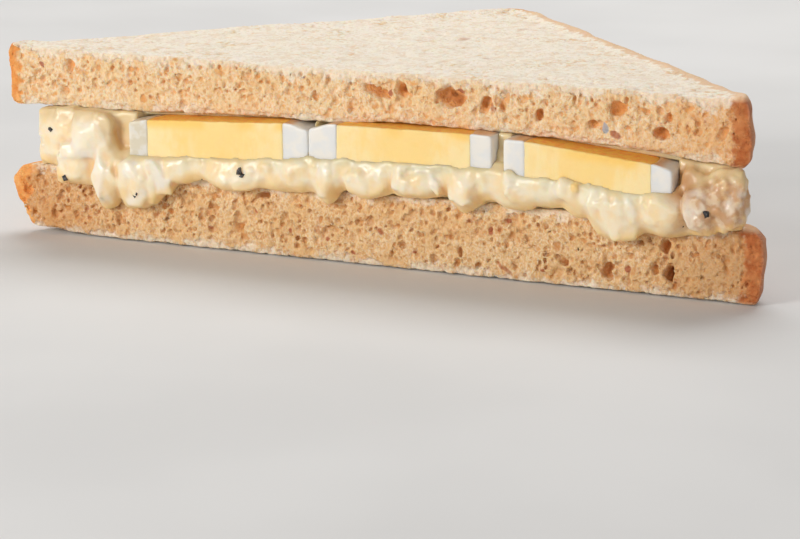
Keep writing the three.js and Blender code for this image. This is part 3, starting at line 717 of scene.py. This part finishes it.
def bread_volume(bread):
    low, high = bread["span"]
    volume = Volume(
        spaced(-79.8, 79.8 + bread["reach"], SLICE_STEP),
        graded(-1.1, 2.0, 80.2, fine=0.25, growth=1.14, coarse=1.0),
        spaced(low, high, SLICE_STEP),
    )
    rng = np.random.default_rng(bread["seed"])
    faces, crust, cut = slice_distance(volume, bread)
    cells = smooth_min(
        np.abs(volume.noise((0.9, 1.1, 1.3), rng)), np.abs(volume.noise((0.7, 0.9, 0.9), rng)), 0.3
    )
    cut = cut + 0.2 * volume.noise(2.8, rng) + 0.6 * cells + 0.16 * volume.noise(0.55, rng) - 0.08
    crust = crust + 0.1 + 0.16 * volume.noise((5, 5, 3), rng) + 0.07 * volume.noise(0.9, rng)
    crust = crust + 0.6 * np.abs(volume.noise((9, 9, 14), rng)) * smoothstep(volume.y / 8 - 0.2)
    crumb = 0.2 * np.abs(volume.noise(0.8, rng)) + 0.1 * volume.noise(2.2, rng)
    crumb = crumb + 0.3 * np.abs(volume.noise(1.3, rng)) * smoothstep(1 - volume.y / 5)
    faces = faces + crumb * smoothstep((crust + 2.5) / -2)
    body = smooth_max(faces, crust, 0.9)
    volume.field = smooth_max(body, cut, 0.4)
    open_pores(volume, bread, rng)
    for x, z, half_wide, half_high, tint in bread["flecks"]:
        turn = turn_matrix(rng.uniform(-1, 1), rng, 0.3)
        fleck = volume.ellipsoid((x, 0.6, z), (half_wide, 1.4, half_high), turn)
        volume.colour(fleck, tint, 0.35)
    for x, y, half_wide, half_deep, tint in bread["face_flecks"]:
        centre = (x, y, bread["upper"](x, y))
        patch = volume.ellipsoid(centre, (half_wide, half_deep, 1.0), turn_matrix(0, rng, 0.2))
        volume.colour(patch, tint, 1.2)
    return volume


def open_pores(volume, bread, rng):
    """Digs the large pores where they show, and fine ones by a seeded draw."""
    ragged = 0.4 * volume.noise(1.5, rng) + 0.26 * volume.noise(0.65, rng)
    for x, z, half_wide, half_high, depth in bread["pores"]:
        turn = turn_matrix(0, rng, 0.3)
        picks, distance = volume.ellipsoid((x, 0.2, z), (half_wide, depth, half_high), turn)
        volume.dig((picks, distance + ragged[picks]), 0.4)
    for count, smallest, largest in PORE_SIZES:
        for _ in range(count):
            x = rng.uniform(-PORES_UP_TO, PORES_UP_TO + bread["reach"])
            low = bread["under"](x, 0.0) + PLAIN_EDGE
            high = bread["upper"](x, 0.0) - PLAIN_EDGE
            centre = (x, rng.uniform(*PORE_MIDDLES), rng.uniform(low, high))
            radii = rng.uniform(smallest, largest) * np.array(PORE_SHAPE)
            radii *= rng.uniform(0.75, 1.3, 3)
            turn = turn_matrix(-PORE_LEAN * rightwards(-x, 80), rng, 0.6)
            picks, distance = volume.ellipsoid(centre, radii, turn, 0.6)
            volume.dig((picks, distance + 0.8 * ragged[picks]), 0.2)
    for count, smallest, largest in bread["face_pores"]:
        for _ in range(count):
            x = rng.uniform(-FACE_PORES_UP_TO, FACE_PORES_UP_TO)
            y = rng.uniform(0.5, FACE_PORES_UP_TO)
            radius = rng.uniform(smallest, largest)
            if plan_distance(x, y) > -PLAIN_RIM:
                continue
            radii = radius * np.array((1, 1, 0.7)) * rng.uniform(0.7, 1.3, 3)
            centre = (x, y, bread["upper"](x, y) + 0.15)
            volume.dig(volume.ellipsoid(centre, radii, turn_matrix(0, rng, 0.3), 0.5), 0.25)


def build_slice(bread):
    volume = bread_volume(bread)
    points, quads = surface_of(volume)
    below, above, crust_depth, from_cut, level = slice_depths(bread, *points.T)
    attributes = {
        "crust_depth": crust_depth,
        "hollow": from_cut,
        "sunk": np.minimum(from_cut, np.minimum(below, above)),
        "face_depth": np.minimum(below + bread["pale_from"], above + UNDERSIDE_PALE),
        "right_side": rightwards(points[:, 0], 10),
        "level": level,
        "cavity": volume.cavity(points, 2),
        "fleck": volume.sample(volume.tint, points),
    }
    piece = mesh_object(bread["name"], points, quads, bread_material(bread), attributes)
    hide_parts(bread["node"])


# ---- The filling's shape ----


def filling_volume():
    volume = Volume(
        spaced(-74.0, 80.0, FILLING_STEP),
        graded(-5.8, 2.4, 78.0, fine=0.3, growth=1.13, coarse=1.1),
        spaced(5.2, 28.8, FILLING_STEP),
    )
    rng = np.random.default_rng(FILLING_SEED)
    x, y, z = volume.x, volume.y, volume.z
    near = 1 - smoothstep(y / FILLING_INSET["fade"])
    at_cut = mix(FILLING_INSET["left"], FILLING_INSET["right"], rightwards(x, 20))
    inset = mix(FILLING_INSET["back"], at_cut, near)
    edge = plan_distance(x, y) + inset + 1.1 * volume.noise((7, 7, 6), rng)
    edge = edge + 0.6 * volume.noise((3, 3, 2.6), rng)
    faces = np.maximum(z - top_slice_under(x, y) - 0.1, bottom_slice_upper(x, y) - 0.1 - z)
    core = smooth_max(smooth_max(edge, faces, 1.2), 0.5 - y, 0.8)
    volume.field = smooth_min(core, apron_distance(volume, rng), 1.0)
    for x, z, half_wide, half_high, out in LOBES:
        under_egg = LOBE_DROP["from"] < x < LOBE_DROP["to"]
        centre = (x, LOBE_MIDDLE_Y, z - (LOBE_DROP["by"] if under_egg else 0))
        half_high *= LOBE_DROP["flatter"] if under_egg else 1
        radii = (half_wide, min(out + LOBE_PROUD, FARTHEST) + LOBE_MIDDLE_Y, half_high)
        volume.add(volume.ellipsoid(centre, radii, turn_matrix(0, rng, 0.12), 3.0), 1.4)
    for x, z, out, half_wide, half_deep, half_high, lean, tint in CHUNKS:
        halves = (half_wide, half_deep, half_high)
        turn = turn_matrix(math.radians(lean), rng, 0.25)
        add_chunk(volume, (x, half_deep - min(out, FARTHEST), z), halves, turn, tint, rng)
    add_bits(volume, rng)
    volume.dig(volume.ellipsoid(*HOLLOW, turn_matrix(0, rng, 0), 2.0), 1.0)
    lumps = 0.24 * volume.noise(2.4, rng) + 0.09 * volume.noise(1.0, rng) + 0.1
    coarse = smoothstep((volume.x - ROUGH_END["from"]) / ROUGH_END["over"])
    lumps = lumps + coarse * (0.4 * np.abs(volume.noise(1.6, rng)) + 0.2 * volume.noise(0.9, rng))
    volume.field = volume.field + lumps * smoothstep(1 - volume.y / 6)
    volume.field = trim_to_neighbours(volume)
    return volume


def build_filling():
    volume = filling_volume()
    points, quads = surface_of(volume)
    x, y, z = points.T
    attributes = {
        "tint": volume.sample(volume.tint, points),
        "cavity": volume.cavity(points, 5),
        "above_edge": z - along(HANGING_EDGE, x) + np.maximum(y, 0),
        "below_top": along(APRON_TOP, x) - z + np.maximum(-2.6 - y, 0),
        "tan_shade_share": smoothstep((x - ROUGH_END["tan_from"]) / ROUGH_END["over"]),
        "shade": 0.85 * np.exp(-(np.hypot(x - SHADE["x"], z - SHADE["z"]) / SHADE["reach"]) ** 4),
    }
    piece = mesh_object("filling", points, quads, mayonnaise_material(), attributes)
    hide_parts("egg_mayonnaise")
    pepper_flakes(volume, pepper_material())


def add_chunk(volume, centre, halves, turn, tint, rng):
    """A piece of egg in the mayonnaise: a clean one stands out more than a coated one."""
    clean = abs(tint)
    bevel = min(halves) * mix(0.75, 0.45, clean)
    picks, first = volume.chunk(centre, halves, turn, bevel)
    across = turn_matrix(rng.uniform(0.5, 1.0), rng, 0.5) @ turn
    outer = volume.local(picks, centre, across)
    second = np.max([np.abs(d) / (1.12 * h) for d, h in zip(outer, halves)], axis=0)
    piece = picks, smooth_max(first, (second - 1) * min(halves), 0.4)
    volume.add(piece, mix(1.3, 0.6, clean))
    volume.colour(piece, tint, 1.1)


def add_bits(volume, rng):
    """Small bits of egg, half sunk in the filling's front."""
    fronts = volume.fronts()
    draws = [(rng.uniform(-73, 78), *bit) for count, *bit in BITS for _ in range(count)]
    for _ in range(CHOPPED["count"]):
        x = mix(CHOPPED["from"], CHOPPED["to"], math.sqrt(rng.uniform(0, 1)))
        draws.append((x, CHOPPED["smallest"], CHOPPED["largest"], rng.uniform(0, 1)))
    for x, smallest, largest, tint in draws:
        z = mix(along(HANGING_EDGE, x) + 1.0, along(APRON_TOP, x), rng.uniform(0, 1))
        i, k = volume.cells_at(x, z)
        halves = rng.uniform(smallest, largest) * rng.uniform(0.6, 1.3, 3)
        turn = turn_matrix(rng.uniform(-1.5, 1.5), rng, 0.6)
        if -FARTHEST < fronts[i, k] < 2:
            add_chunk(volume, (x, fronts[i, k] + 0.35 * min(halves), z), halves, turn, tint, rng)


def apron_distance(volume, rng):
    """The filling's face at the cut: it covers the foot of the eggs and hangs down in drips."""
    x, y, z = volume.x, volume.y, volume.z
    low = along(HANGING_EDGE, x)
    high = along(APRON_TOP, x) + 0.5 + 0.35 * volume.noise((2.2, 9, 9), rng)
    level = np.clip((z - low) / (high - low), 0, 1)
    hang = np.maximum(APRON["hang_from"] - low, 0)
    ends = smoothstep((x - APRON["from"]) / 5) * smoothstep((APRON["to"] - x) / 5)
    belly = np.sin(np.pi * np.minimum(0.12 + 0.8 * level, 1)) ** 0.7
    full = (APRON["bulge"] + APRON["per_hang"] * hang) * (0.3 + 0.7 * ends) * belly
    cover = along(APRON_COVER, x) * mix(0.5, 1, smoothstep(level / 0.4))
    cover = cover * mix(1, 0.45, smoothstep((level - 0.8) / 0.2))
    front = -0.6 - full - cover - y + 0.2 * volume.noise((4, 4, 4), rng)
    front = front + 0.3 * volume.noise((1.9, 4, 5), rng) * smoothstep((1 - level) / 0.3)
    sides = np.maximum(APRON["from"] - x, x - APRON["to"] + 0.8 * np.maximum(y, 0))
    hanging = smooth_max(smooth_max(front, low - z, 1.4), sides, 1.0)
    return smooth_max(smooth_max(hanging, z - high, 0.5), y - 4, 1.0)


def trim_to_neighbours(volume):
    """Keeps the filling out of the bread, off the egg slices and out of the gap above them."""
    field = volume.field
    for bread in (TOP_SLICE, BOTTOM_SLICE):
        faces, crust, cut = slice_distance(volume, bread)
        field = np.maximum(field, -np.maximum(np.maximum(faces, crust), cut) - 0.2)
    for egg in EGGS.values():
        field = np.maximum(field, -egg_disc(volume, egg, egg["radius"]) - 0.15)
        rim = np.hypot(volume.x - egg["x"], volume.y - egg["face"] - egg["behind"]) - egg["radius"]
        above = np.maximum(np.maximum(rim, egg["z"] - volume.z), volume.y - 3)
        field = smooth_max(field, -above - 0.2, 0.8)
    return field


# ---- The egg slices ----


def egg_disc(volume, egg, radius, shift=0.0, half=None, face=None, drops=(0, 0), edge=0.5):
    """Distance to a leaning disc that ends at the egg's cut face; drops lower its rim's top."""
    x = volume.x - egg["x"]
    z = volume.z - egg["z"] - egg["lean"] * x
    y = volume.y - (egg["face"] + egg["behind"])
    from_axis = np.sqrt((x - shift) ** 2 + y ** 2)
    half = egg["thickness"] / 2 if half is None else half
    drop = mix(*drops, rightwards(x, 4))
    outer = smoothstep((from_axis - egg["yolk"]) / (egg["radius"] - egg["yolk"]))
    flat = np.maximum(z - half - TALLER + drop * outer, -z - half)
    cut = (egg["face"] if face is None else face) - volume.y
    return smooth_max(smooth_max(from_axis - radius, flat, edge), cut, 0.4 * edge)


def egg_volume(egg):
    reach = egg["radius"] + 1
    face = egg["face"]
    tall = egg["thickness"] / 2 + abs(egg["lean"]) * reach + 1
    return Volume(
        spaced(egg["x"] - reach, egg["x"] + reach, EGG_STEP),
        graded(face - 1.2, face + 5, face + egg["behind"] + reach,
               fine=EGG_STEP, growth=1.15, coarse=1.0),
        spaced(egg["z"] - tall, egg["z"] + tall, EGG_STEP),
    )


def egg_depths(points, egg):
    """How deep points lie below an egg slice's top and behind its cut face."""
    x, y, z = points.T
    top = egg["z"] + egg["lean"] * (x - egg["x"]) + egg["thickness"] / 2 + TALLER
    return {"top_depth": top - z, "hollow": y - egg["face"]}


def build_egg(side, egg, white_material, yolk_material):
    rng = np.random.default_rng(EGG_SEED + len(side))
    white = egg_volume(egg)
    ring = egg_disc(white, egg, egg["radius"], drops=egg["drops"], edge=0.8)
    ring = ring + 0.12 * white.noise((5, 5, 4), rng) * smoothstep((white.y - egg["face"]) / 2)
    hole = egg_disc(white, egg, egg["yolk"], egg["yolk_x"], egg["thickness"], egg["face"] - 5)
    white.field = np.maximum(ring + 0.04 * white.noise(2.0, rng), -hole)
    points, quads = surface_of(white)
    coated = smoothstep((COATED_UP_TO - points[:, 0]) / 1.5)
    attributes = {"coated": coated, **egg_depths(points, egg)}
    piece = mesh_object(f"white_{side}", points, quads, white_material, attributes)
    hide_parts(f"egg_white_{side}")

    yolk = egg_volume(egg)
    grain = 0.1 * yolk.noise((4, 4, 3), rng) + 0.07 * yolk.noise(1.0, rng)
    half = egg["thickness"] / 2 - 0.1
    disc = egg_disc(yolk, egg, egg["yolk"] + 0.15, egg["yolk_x"], half, edge=0.25)
    yolk.field = disc + np.maximum(grain, -0.05)
    points, quads = surface_of(yolk)
    x = points[:, 0] - egg["x"] - egg["yolk_x"]
    y = points[:, 1] - egg["face"] - egg["behind"]
    middle = np.sqrt(x ** 2 + (1.6 * (points[:, 2] - egg["z"] - 1.5)) ** 2 + y ** 2)
    attributes = {"from_middle": middle / egg["yolk"], **egg_depths(points, egg)}
    piece = mesh_object(f"yolk_{side}", points, quads, yolk_material, attributes)
    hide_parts(f"egg_yolk_{side}")


# ---- Pepper ----


# Of a flake with eight corners in the order of CORNERS.
FLAKE_FACES = ((0, 1, 3, 2), (4, 6, 7, 5), (0, 4, 5, 1), (2, 3, 7, 6), (0, 2, 6, 4), (1, 5, 7, 3))


def pepper_flakes(volume, material):
    """Irregular flakes, pressed halfway into the filling's front."""
    rng = np.random.default_rng(PEPPER_SEED)
    fronts = volume.fronts()
    points, quads = [], []
    for x, z, size in PEPPER:
        i, k = volume.cells_at(x, z)
        centre = np.array((x, fronts[i, k] - 0.1, z))
        corners = (np.array(CORNERS) - 0.5) * size * np.array((0.75, 0.45, 1.0))
        corners = corners * rng.uniform(0.55, 1.35, (8, 3))
        turn = turn_matrix(rng.uniform(-1.2, 1.2), rng, 0.3)
        quads.extend(np.array(FLAKE_FACES) + 8 * len(points))
        points.append(corners @ turn + centre)
    piece = mesh_object(
        "pepper", np.concatenate(points).astype(np.float32), np.array(quads), material
    )


# ---- Materials ----


class Nodes:
    """A short way to write a node tree. Sockets are named with _ for a space."""

    def __init__(self, name):
        self.material = bpy.data.materials.new(name)
        self.material.use_nodes = True
        self.tree = self.material.node_tree
        self.shader = self.tree.nodes["Principled BSDF"]
        self.place = self.new("TexCoord").outputs["Object"]

    def new(self, kind, settings=None, **sockets):
        """A new node with its settings and its sockets' values."""
        node = self.tree.nodes.new("ShaderNode" + kind)
        for key, value in (settings or {}).items():
            setattr(node, key, value)
        self.fill(node, sockets)
        return node

    def fill(self, node, sockets):
        for key, value in sockets.items():
            self.feed(node.inputs[key.replace("_", " ")], value)

    def feed(self, socket, value):
        """Gives a socket a number, a vector, a screen colour or another node's output."""
        if isinstance(value, bpy.types.NodeSocket):
            self.tree.links.new(value, socket)
        else:
            socket.default_value = shader_colour(value) if socket.type == "RGBA" else value

    def noise(self, grain_mm, detail, stretch=(1, 1, 1)):
        """A noise whose grain is given in millimetres."""
        place = self.new("Mapping", Scale=stretch, Vector=self.place).outputs[0]
        scale = 1 / (grain_mm * MM)
        return self.new("TexNoise", Scale=scale, Detail=detail, Vector=place).outputs["Fac"]

    def cells(self, grain_mm, warp_mm):
        """Uneven cells: how far a point is from its cell's wall, and a number for each cell."""
        scale = 1 / (grain_mm * MM)
        noise = self.new("TexNoise", Scale=scale, Vector=self.place)
        warp = self.new("VectorMath", {"operation": "MULTIPLY_ADD"})
        for socket, value in zip(warp.inputs, (noise.outputs["Color"], (warp_mm * MM,) * 3,
                                               self.place)):
            self.feed(socket, value)
        walls, numbers = (
            self.new("TexVoronoi", {"feature": feature}, Scale=scale, Vector=warp.outputs[0])
            for feature in ("DISTANCE_TO_EDGE", "F1")
        )
        return walls.outputs["Distance"], numbers.outputs["Color"]

    def attribute(self, name):
        return self.new("Attribute", {"attribute_name": name}).outputs["Fac"]

    def scaled(self, value, low, high, to_low=0.0, to_high=1.0):
        """Moves a value smoothly from to_low, at low, to to_high, at high. The value is a socket
        or the name of one of the mesh's attributes."""
        if isinstance(value, str):
            value = self.attribute(value)
        node = self.new("MapRange", {"interpolation_type": "SMOOTHSTEP"}, Value=value,
                        From_Min=low, From_Max=high, To_Min=to_low, To_Max=to_high)
        return node.outputs["Result"]

    def patches(self, grain_mm, detail, *limits, **stretch):
        """A noise whose values are moved as scaled() does."""
        return self.scaled(self.noise(grain_mm, detail, **stretch), *limits)

    def math(self, operation, a, b):
        node = self.new("Math", {"operation": operation})
        self.feed(node.inputs[0], a)
        self.feed(node.inputs[1], b)
        return node.outputs[0]

    def add(self, a, b):
        return self.math("ADD", a, b)

    def times(self, a, b):
        return self.math("MULTIPLY", a, b)

    def mix(self, a, b, share):
        """Mixes two numbers; each is a socket or a number, and so is share."""
        rest = self.math("SUBTRACT", 1.0, share)
        return self.add(self.times(a, rest), self.times(b, share))

    def blend(self, a, b, share):
        """Mixes two colours; each is a socket or a colour, and share a socket or a number."""
        node = self.new("Mix", {"data_type": "RGBA"}, Factor=share)
        colours = [socket for socket in node.inputs if socket.type == "RGBA"]
        self.feed(colours[0], a)
        self.feed(colours[1], b)
        return next(socket for socket in node.outputs if socket.type == "RGBA")

    def bump(self, height, depth_mm):
        node = self.new("Bump", Distance=depth_mm * MM, Height=height)
        self.feed(self.shader.inputs["Normal"], node.outputs["Normal"])

    def finish(self, colour, roughness, **constants):
        """Sets the colour, the roughness and the shader's other values."""
        self.fill(self.shader, {"Base_Color": colour, "Roughness": roughness, **constants})
        return self.material


def shader_colour(screen):
    """A shader's colour, from screen values of 0 to 255."""
    shares = (value / 255 for value in screen)
    linear = (v / 12.92 if v <= 0.04045 else ((v + 0.055) / 1.055) ** 2.4 for v in shares)
    return (*linear, 1)


def bread_material(bread):
    n = Nodes(bread["name"])
    crust_depth = n.attribute("crust_depth")
    face_depth = n.attribute("face_depth")
    right = n.attribute("right_side")
    crumb, pits = crumb_colour(n, bread, crust_depth, right)
    spread = n.add(n.patches(1.3, 3, 0.3, 0.7, -0.8, 0.8), n.patches(5, 2, 0.3, 0.7, -1.3, 0.6))
    on_face = n.times(n.scaled(n.add(face_depth, spread), 1.9, 0.3),
                      n.scaled("hollow", -0.2, 1.4, 0.65, 1))
    # Pale on the slice's faces: partly their own colour, partly painted light on the top face from
    # the lamp above.
    colour = n.blend(crumb, pale_colour(n), on_face)
    left_width = n.scaled("level", 0.3, 0.6, *bread["left_width"])
    at_face = n.mix(FACE_CRUST["left"], FACE_CRUST["right"], right)
    width = n.mix(n.mix(left_width, RIGHT_CRUST, right), at_face, n.scaled(face_depth, 0.8, 0.3))
    wobble = n.add(crust_depth, n.patches(1.6, 3, 0.3, 0.7, -0.7, 0.7))
    on_crust = n.scaled(n.math("DIVIDE", wobble, width), 1.03, 0.65)
    colour = n.blend(colour, crust_colour(n, crust_depth, face_depth, right), on_crust)
    colour = n.blend(colour, BRAN, n.scaled("fleck", 0.25, 0.8, 0, 0.8))
    colour = n.blend(colour, SEED, n.scaled("fleck", -0.25, -0.8, 0, 0.9))
    walls = n.times(n.math("SUBTRACT", 1.0, pits), n.scaled(on_face, 1, 0, 0, 2.2))
    grain = n.add(n.noise(0.26, 3), n.times(n.noise(0.6, 2), 1.2))
    n.bump(n.add(grain, walls), 0.14)
    return n.finish(colour, n.scaled(crust_depth, 0.0, 1.0, 0.6, 0.9), Subsurface_Weight=0.5,
                    Subsurface_Scale=0.001, Subsurface_Radius=(1.0, 0.7, 0.4),
                    Specular_IOR_Level=0.25)


# Cells in the crumb, as (grain, warp) and how a cell's own number makes it a pit.
CRUMB_CELLS = (((1.7, 0.9), (0.5, 0.9, 0, 0.7)), ((0.75, 0.4), (0.25, 0.9, 0, 0.45)))


def crumb_colour(n, bread, crust_depth, right):
    """The open crumb: pale cell walls round pits painted tan as their shade, with painted shade in
    its hollows and sunk places. Gives the colour and where the pits are.
    """
    light, middle, deep = (bread[key] for key in ("light", "middle", "deep"))
    sunk = n.attribute("sunk")
    crumb = n.blend(middle, light, n.patches(0.36, 4, 0.37, 0.63, stretch=(1, 1, 0.75)))
    crumb = n.blend(crumb, middle, n.patches(5, 3, 0.4, 0.65, 0, 0.6))
    # The crumb darkens towards the crust; on the right, towards painted shade of the darker right
    # end.
    near_crust = n.times(n.scaled(crust_depth, 24, 3), n.mix(*bread["near_crust"], right))
    crumb = n.blend(crumb, n.blend(deep, bread["right_end_shade"], right), near_crust)
    wide, fine = (
        n.times(n.scaled(edge, 0.05, 0.32), n.scaled(draw, *limits))
        for (edge, draw), limits in ((n.cells(*sizes), limits) for sizes, limits in CRUMB_CELLS)
    )
    pits = n.math("MAXIMUM", wide, fine)
    # Painted shade: the crumb darkens to the deep colour in sunk places, in hollows and in the
    # pits.
    shaded = n.math("MAXIMUM", n.scaled(sunk, 0.4, 1.5, 0, 0.7),
                    n.scaled("cavity", 0.02, 0.3, 0, 0.6))
    crumb = n.blend(crumb, deep, n.math("MAXIMUM", shaded, pits))
    # Painted shade deeper in the pores, and a painted shadow at their bottom.
    crumb = n.blend(crumb, PORE_SHADE, n.scaled(sunk, 1.5, 2.8, 0, 0.7))
    return n.blend(crumb, PORE_BOTTOM_SHADOW, n.scaled(sunk, 2.5, 3.5)), pits


def pale_colour(n):
    """The slice's outer face: paler than the cut crumb, partly its own colour and partly painted
    light on the top face from the lamp above.
    """
    pale = n.blend(PALE_FACE, PALE_FACE_DARK, n.patches(0.8, 3, 0.5, 0.3))
    pale = n.blend(pale, PALE_FACE_PATCHES, n.patches(2.6, 3, 0.48, 0.66, 0, 0.8))
    # Painted shade in the face's hollows.
    pale = n.blend(pale, PALE_FACE_HOLLOW_SHADE, n.scaled("cavity", 0.05, 0.3, 0, 0.8))
    return n.blend(pale, PALE_FACE_TAN, n.patches(2.2, 3, 0.64, 0.74, 0, 0.6))


def crust_colour(n, crust_depth, face_depth, right):
    """Golden on the left and brown on the right, partly painted shade of the shaded right end,
    with a thin skin and a pale rim there.
    """
    patches = n.patches(2.0, 5, 0.25, 0.75)
    crust = n.blend(n.blend(*CRUST_LEFT, patches), n.blend(*CRUST_RIGHT, patches), right)
    skin = n.blend(*SKIN, n.patches(4, 4, 0.3, 0.7))
    crust = n.blend(crust, skin, n.times(n.scaled(crust_depth, 0.7, 0.1), right))
    return n.blend(crust, RIM_TAN, n.times(n.scaled(face_depth, 1.4, 0.2, 0, 0.8), right))


def mayonnaise_material():
    n = Nodes("mayonnaise")
    tint = n.attribute("tint")
    body = n.blend(*MAYONNAISE, n.patches(4, 3, 0.4, 0.65))
    # Painted tan shade among the chopped bits of the right end.
    chopped_shade = n.times(n.patches(1.7, 3, 0.4, 0.6, 0.45, 0.85), n.attribute("tan_shade_share"))
    body = n.blend(body, TAN_SHADE, chopped_shade)
    body = n.blend(body, CHOPPED_WHITE, n.scaled(tint, 0.0, 0.9, 0, 0.82))
    body = n.blend(body, YOLK_CRUMB, n.scaled(tint, -0.1, -0.8, 0, 0.85))
    # Painted shade on the shelf below the eggs, under the bread.
    body = n.blend(body, SHELF_SHADE, n.scaled("below_top", 2.6, 0.4, 0, 0.85))
    # Painted glow and shade on the drips' lower edges.
    body = n.blend(body, DRIP_EDGE_GLOW_SHADE, n.scaled("above_edge", 2.4, 0.3, 0, 0.7))
    # Painted shade in the creases.
    body = n.blend(body, MAYONNAISE_CREASE_SHADE, n.scaled("cavity", -0.05, 0.5, 0, 0.65))
    body = n.blend(body, TAN_SHADE, n.attribute("shade"))
    n.bump(n.noise(0.8, 3), 0.05)
    return n.finish(body, n.patches(2.5, 2, 0.35, 0.65, 0.34, 0.54),
                    Subsurface_Weight=0.6, Subsurface_Scale=0.0022,
                    Subsurface_Radius=(1.0, 0.75, 0.4), Specular_IOR_Level=0.5,
                    Coat_Weight=0.22, Coat_Roughness=0.1)


def in_front_of_bread(n):
    """Where the top of an egg slice shows in front of the bread above it; there it gets painted
    shade, tinted by light bounced off the bread.
    """
    return n.times(n.scaled("top_depth", 0.5, 0.05), n.scaled("hollow", 0.1, 0.5))


def egg_white_material():
    n = Nodes("egg_white")
    body = n.blend(*EGG_WHITE, n.patches(3, 2, 0.4, 0.6))
    # Painted shade on the top in front of the bread.
    body = n.blend(body, EGG_WHITE_TOP_SHADE, in_front_of_bread(n))
    coated = n.times(n.attribute("coated"), n.patches(2, 2, 0.4, 0.6, 0.4, 0.9))
    body = n.blend(body, EGG_WHITE_COATED, coated)
    n.bump(n.noise(1.0, 2), 0.03)
    return n.finish(body, n.patches(1.5, 2, 0.35, 0.65, 0.3, 0.42),
                    Subsurface_Weight=0.5, Subsurface_Scale=0.002,
                    Subsurface_Radius=(1.0, 0.95, 0.85), Specular_IOR_Level=0.45)


def egg_yolk_material():
    n = Nodes("egg_yolk")
    streaks = n.patches(2.4, 4, 0.3, 0.7, -0.22, 0.22, stretch=(1, 1, 0.35))
    share = n.add(n.attribute("from_middle"), streaks)
    body = n.blend(YOLK, YOLK_RIM, n.scaled(share, 0.35, 0.95))
    body = n.blend(body, YOLK_RICH, n.patches(3.5, 3, 0.5, 0.72, 0, 0.25))
    upper = n.times(n.scaled("top_depth", 2.6, 0.4), n.patches(9, 1, 0.4, 0.6))
    body = n.blend(body, YOLK_RICH, upper)
    # Painted shade on the yolk's top in front of the bread.
    mottled = n.blend(*YOLK_TOP_SHADE, n.patches(1.2, 3, 0.45, 0.62))
    body = n.blend(body, mottled, in_front_of_bread(n))
    n.bump(n.noise(0.45, 4), 0.08)
    return n.finish(body, n.patches(1.5, 3, 0.35, 0.65, 0.55, 0.7),
                    Subsurface_Weight=0.25, Subsurface_Scale=0.0015,
                    Subsurface_Radius=(1.0, 0.6, 0.2), Specular_IOR_Level=0.3)


def pepper_material():
    n = Nodes("pepper")
    body = n.blend(*PEPPER_BLACK, n.patches(0.5, 3, 0.4, 0.65))
    n.bump(n.noise(0.25, 3), 0.06)
    return n.finish(body, n.patches(0.4, 2, 0.35, 0.65, 0.45, 0.65))


# ---- Floor, light and camera ----


def floor():
    bpy.ops.mesh.primitive_plane_add(size=4.0, location=(0, 0.6, -0.0002))
    plane = bpy.context.object
    plane.name = "floor"
    n = Nodes("floor")
    plain = n.blend(*FLOOR_GREY, n.patches(60, 2, 0.3, 0.7))
    plane.data.materials.append(n.finish(plain, 0.8))


def lights():
    for name, place, size, watts, colour in LIGHTS:
        lamp = bpy.data.lights.new(name, "AREA")
        lamp.shape = "RECTANGLE"
        lamp.size, lamp.size_y = size
        lamp.energy = watts
        lamp.color = colour
        holder = bpy.data.objects.new(name, lamp)
        holder.location = place
        direction = Vector(AIM) - Vector(place)
        holder.rotation_euler = direction.to_track_quat("-Z", "Y").to_euler()
        bpy.context.scene.collection.objects.link(holder)
    world = bpy.data.worlds.new("studio")
    world.use_nodes = True
    background = world.node_tree.nodes["Background"]
    background.inputs["Color"].default_value = (1.0, 1.0, 1.0, 1)
    background.inputs["Strength"].default_value = WORLD_STRENGTH
    bpy.context.scene.world = world
    bpy.context.scene.view_settings.view_transform = "Standard"


def camera():
    turn, height, roll = (math.radians(CAMERA[key]) for key in ("turn", "height", "roll"))
    back = Vector((math.sin(turn) * math.cos(height), -math.cos(turn) * math.cos(height),
                   math.sin(height)))
    right = Vector((math.cos(turn), math.sin(turn), 0))
    up = back.cross(right)
    rolled_right = right * math.cos(roll) + up * math.sin(roll)
    rolled_up = up * math.cos(roll) - right * math.sin(roll)
    target = Vector(CAMERA["target"]) - Vector(ORIGIN)
    place = (target + back * CAMERA["distance"]) * MM
    lens = bpy.data.cameras.new("camera")
    lens.sensor_width = 36.0
    lens.lens = CAMERA["focal_px"] / PICTURE_WIDTH * lens.sensor_width
    lens.clip_start = 0.01
    holder = bpy.data.objects.new("camera", lens)
    axes = Matrix((rolled_right, rolled_up, back)).transposed()
    holder.matrix_world = Matrix.Translation(place) @ axes.to_4x4()
    bpy.context.scene.collection.objects.link(holder)
    bpy.context.scene.camera = holder


# ---- The scene ----

camera()
build_slice(TOP_SLICE)
build_slice(BOTTOM_SLICE)
build_filling()

whites = egg_white_material()
yolks = egg_yolk_material()
for side, egg in EGGS.items():
    build_egg(side, egg, whites, yolks)

floor()
lights()
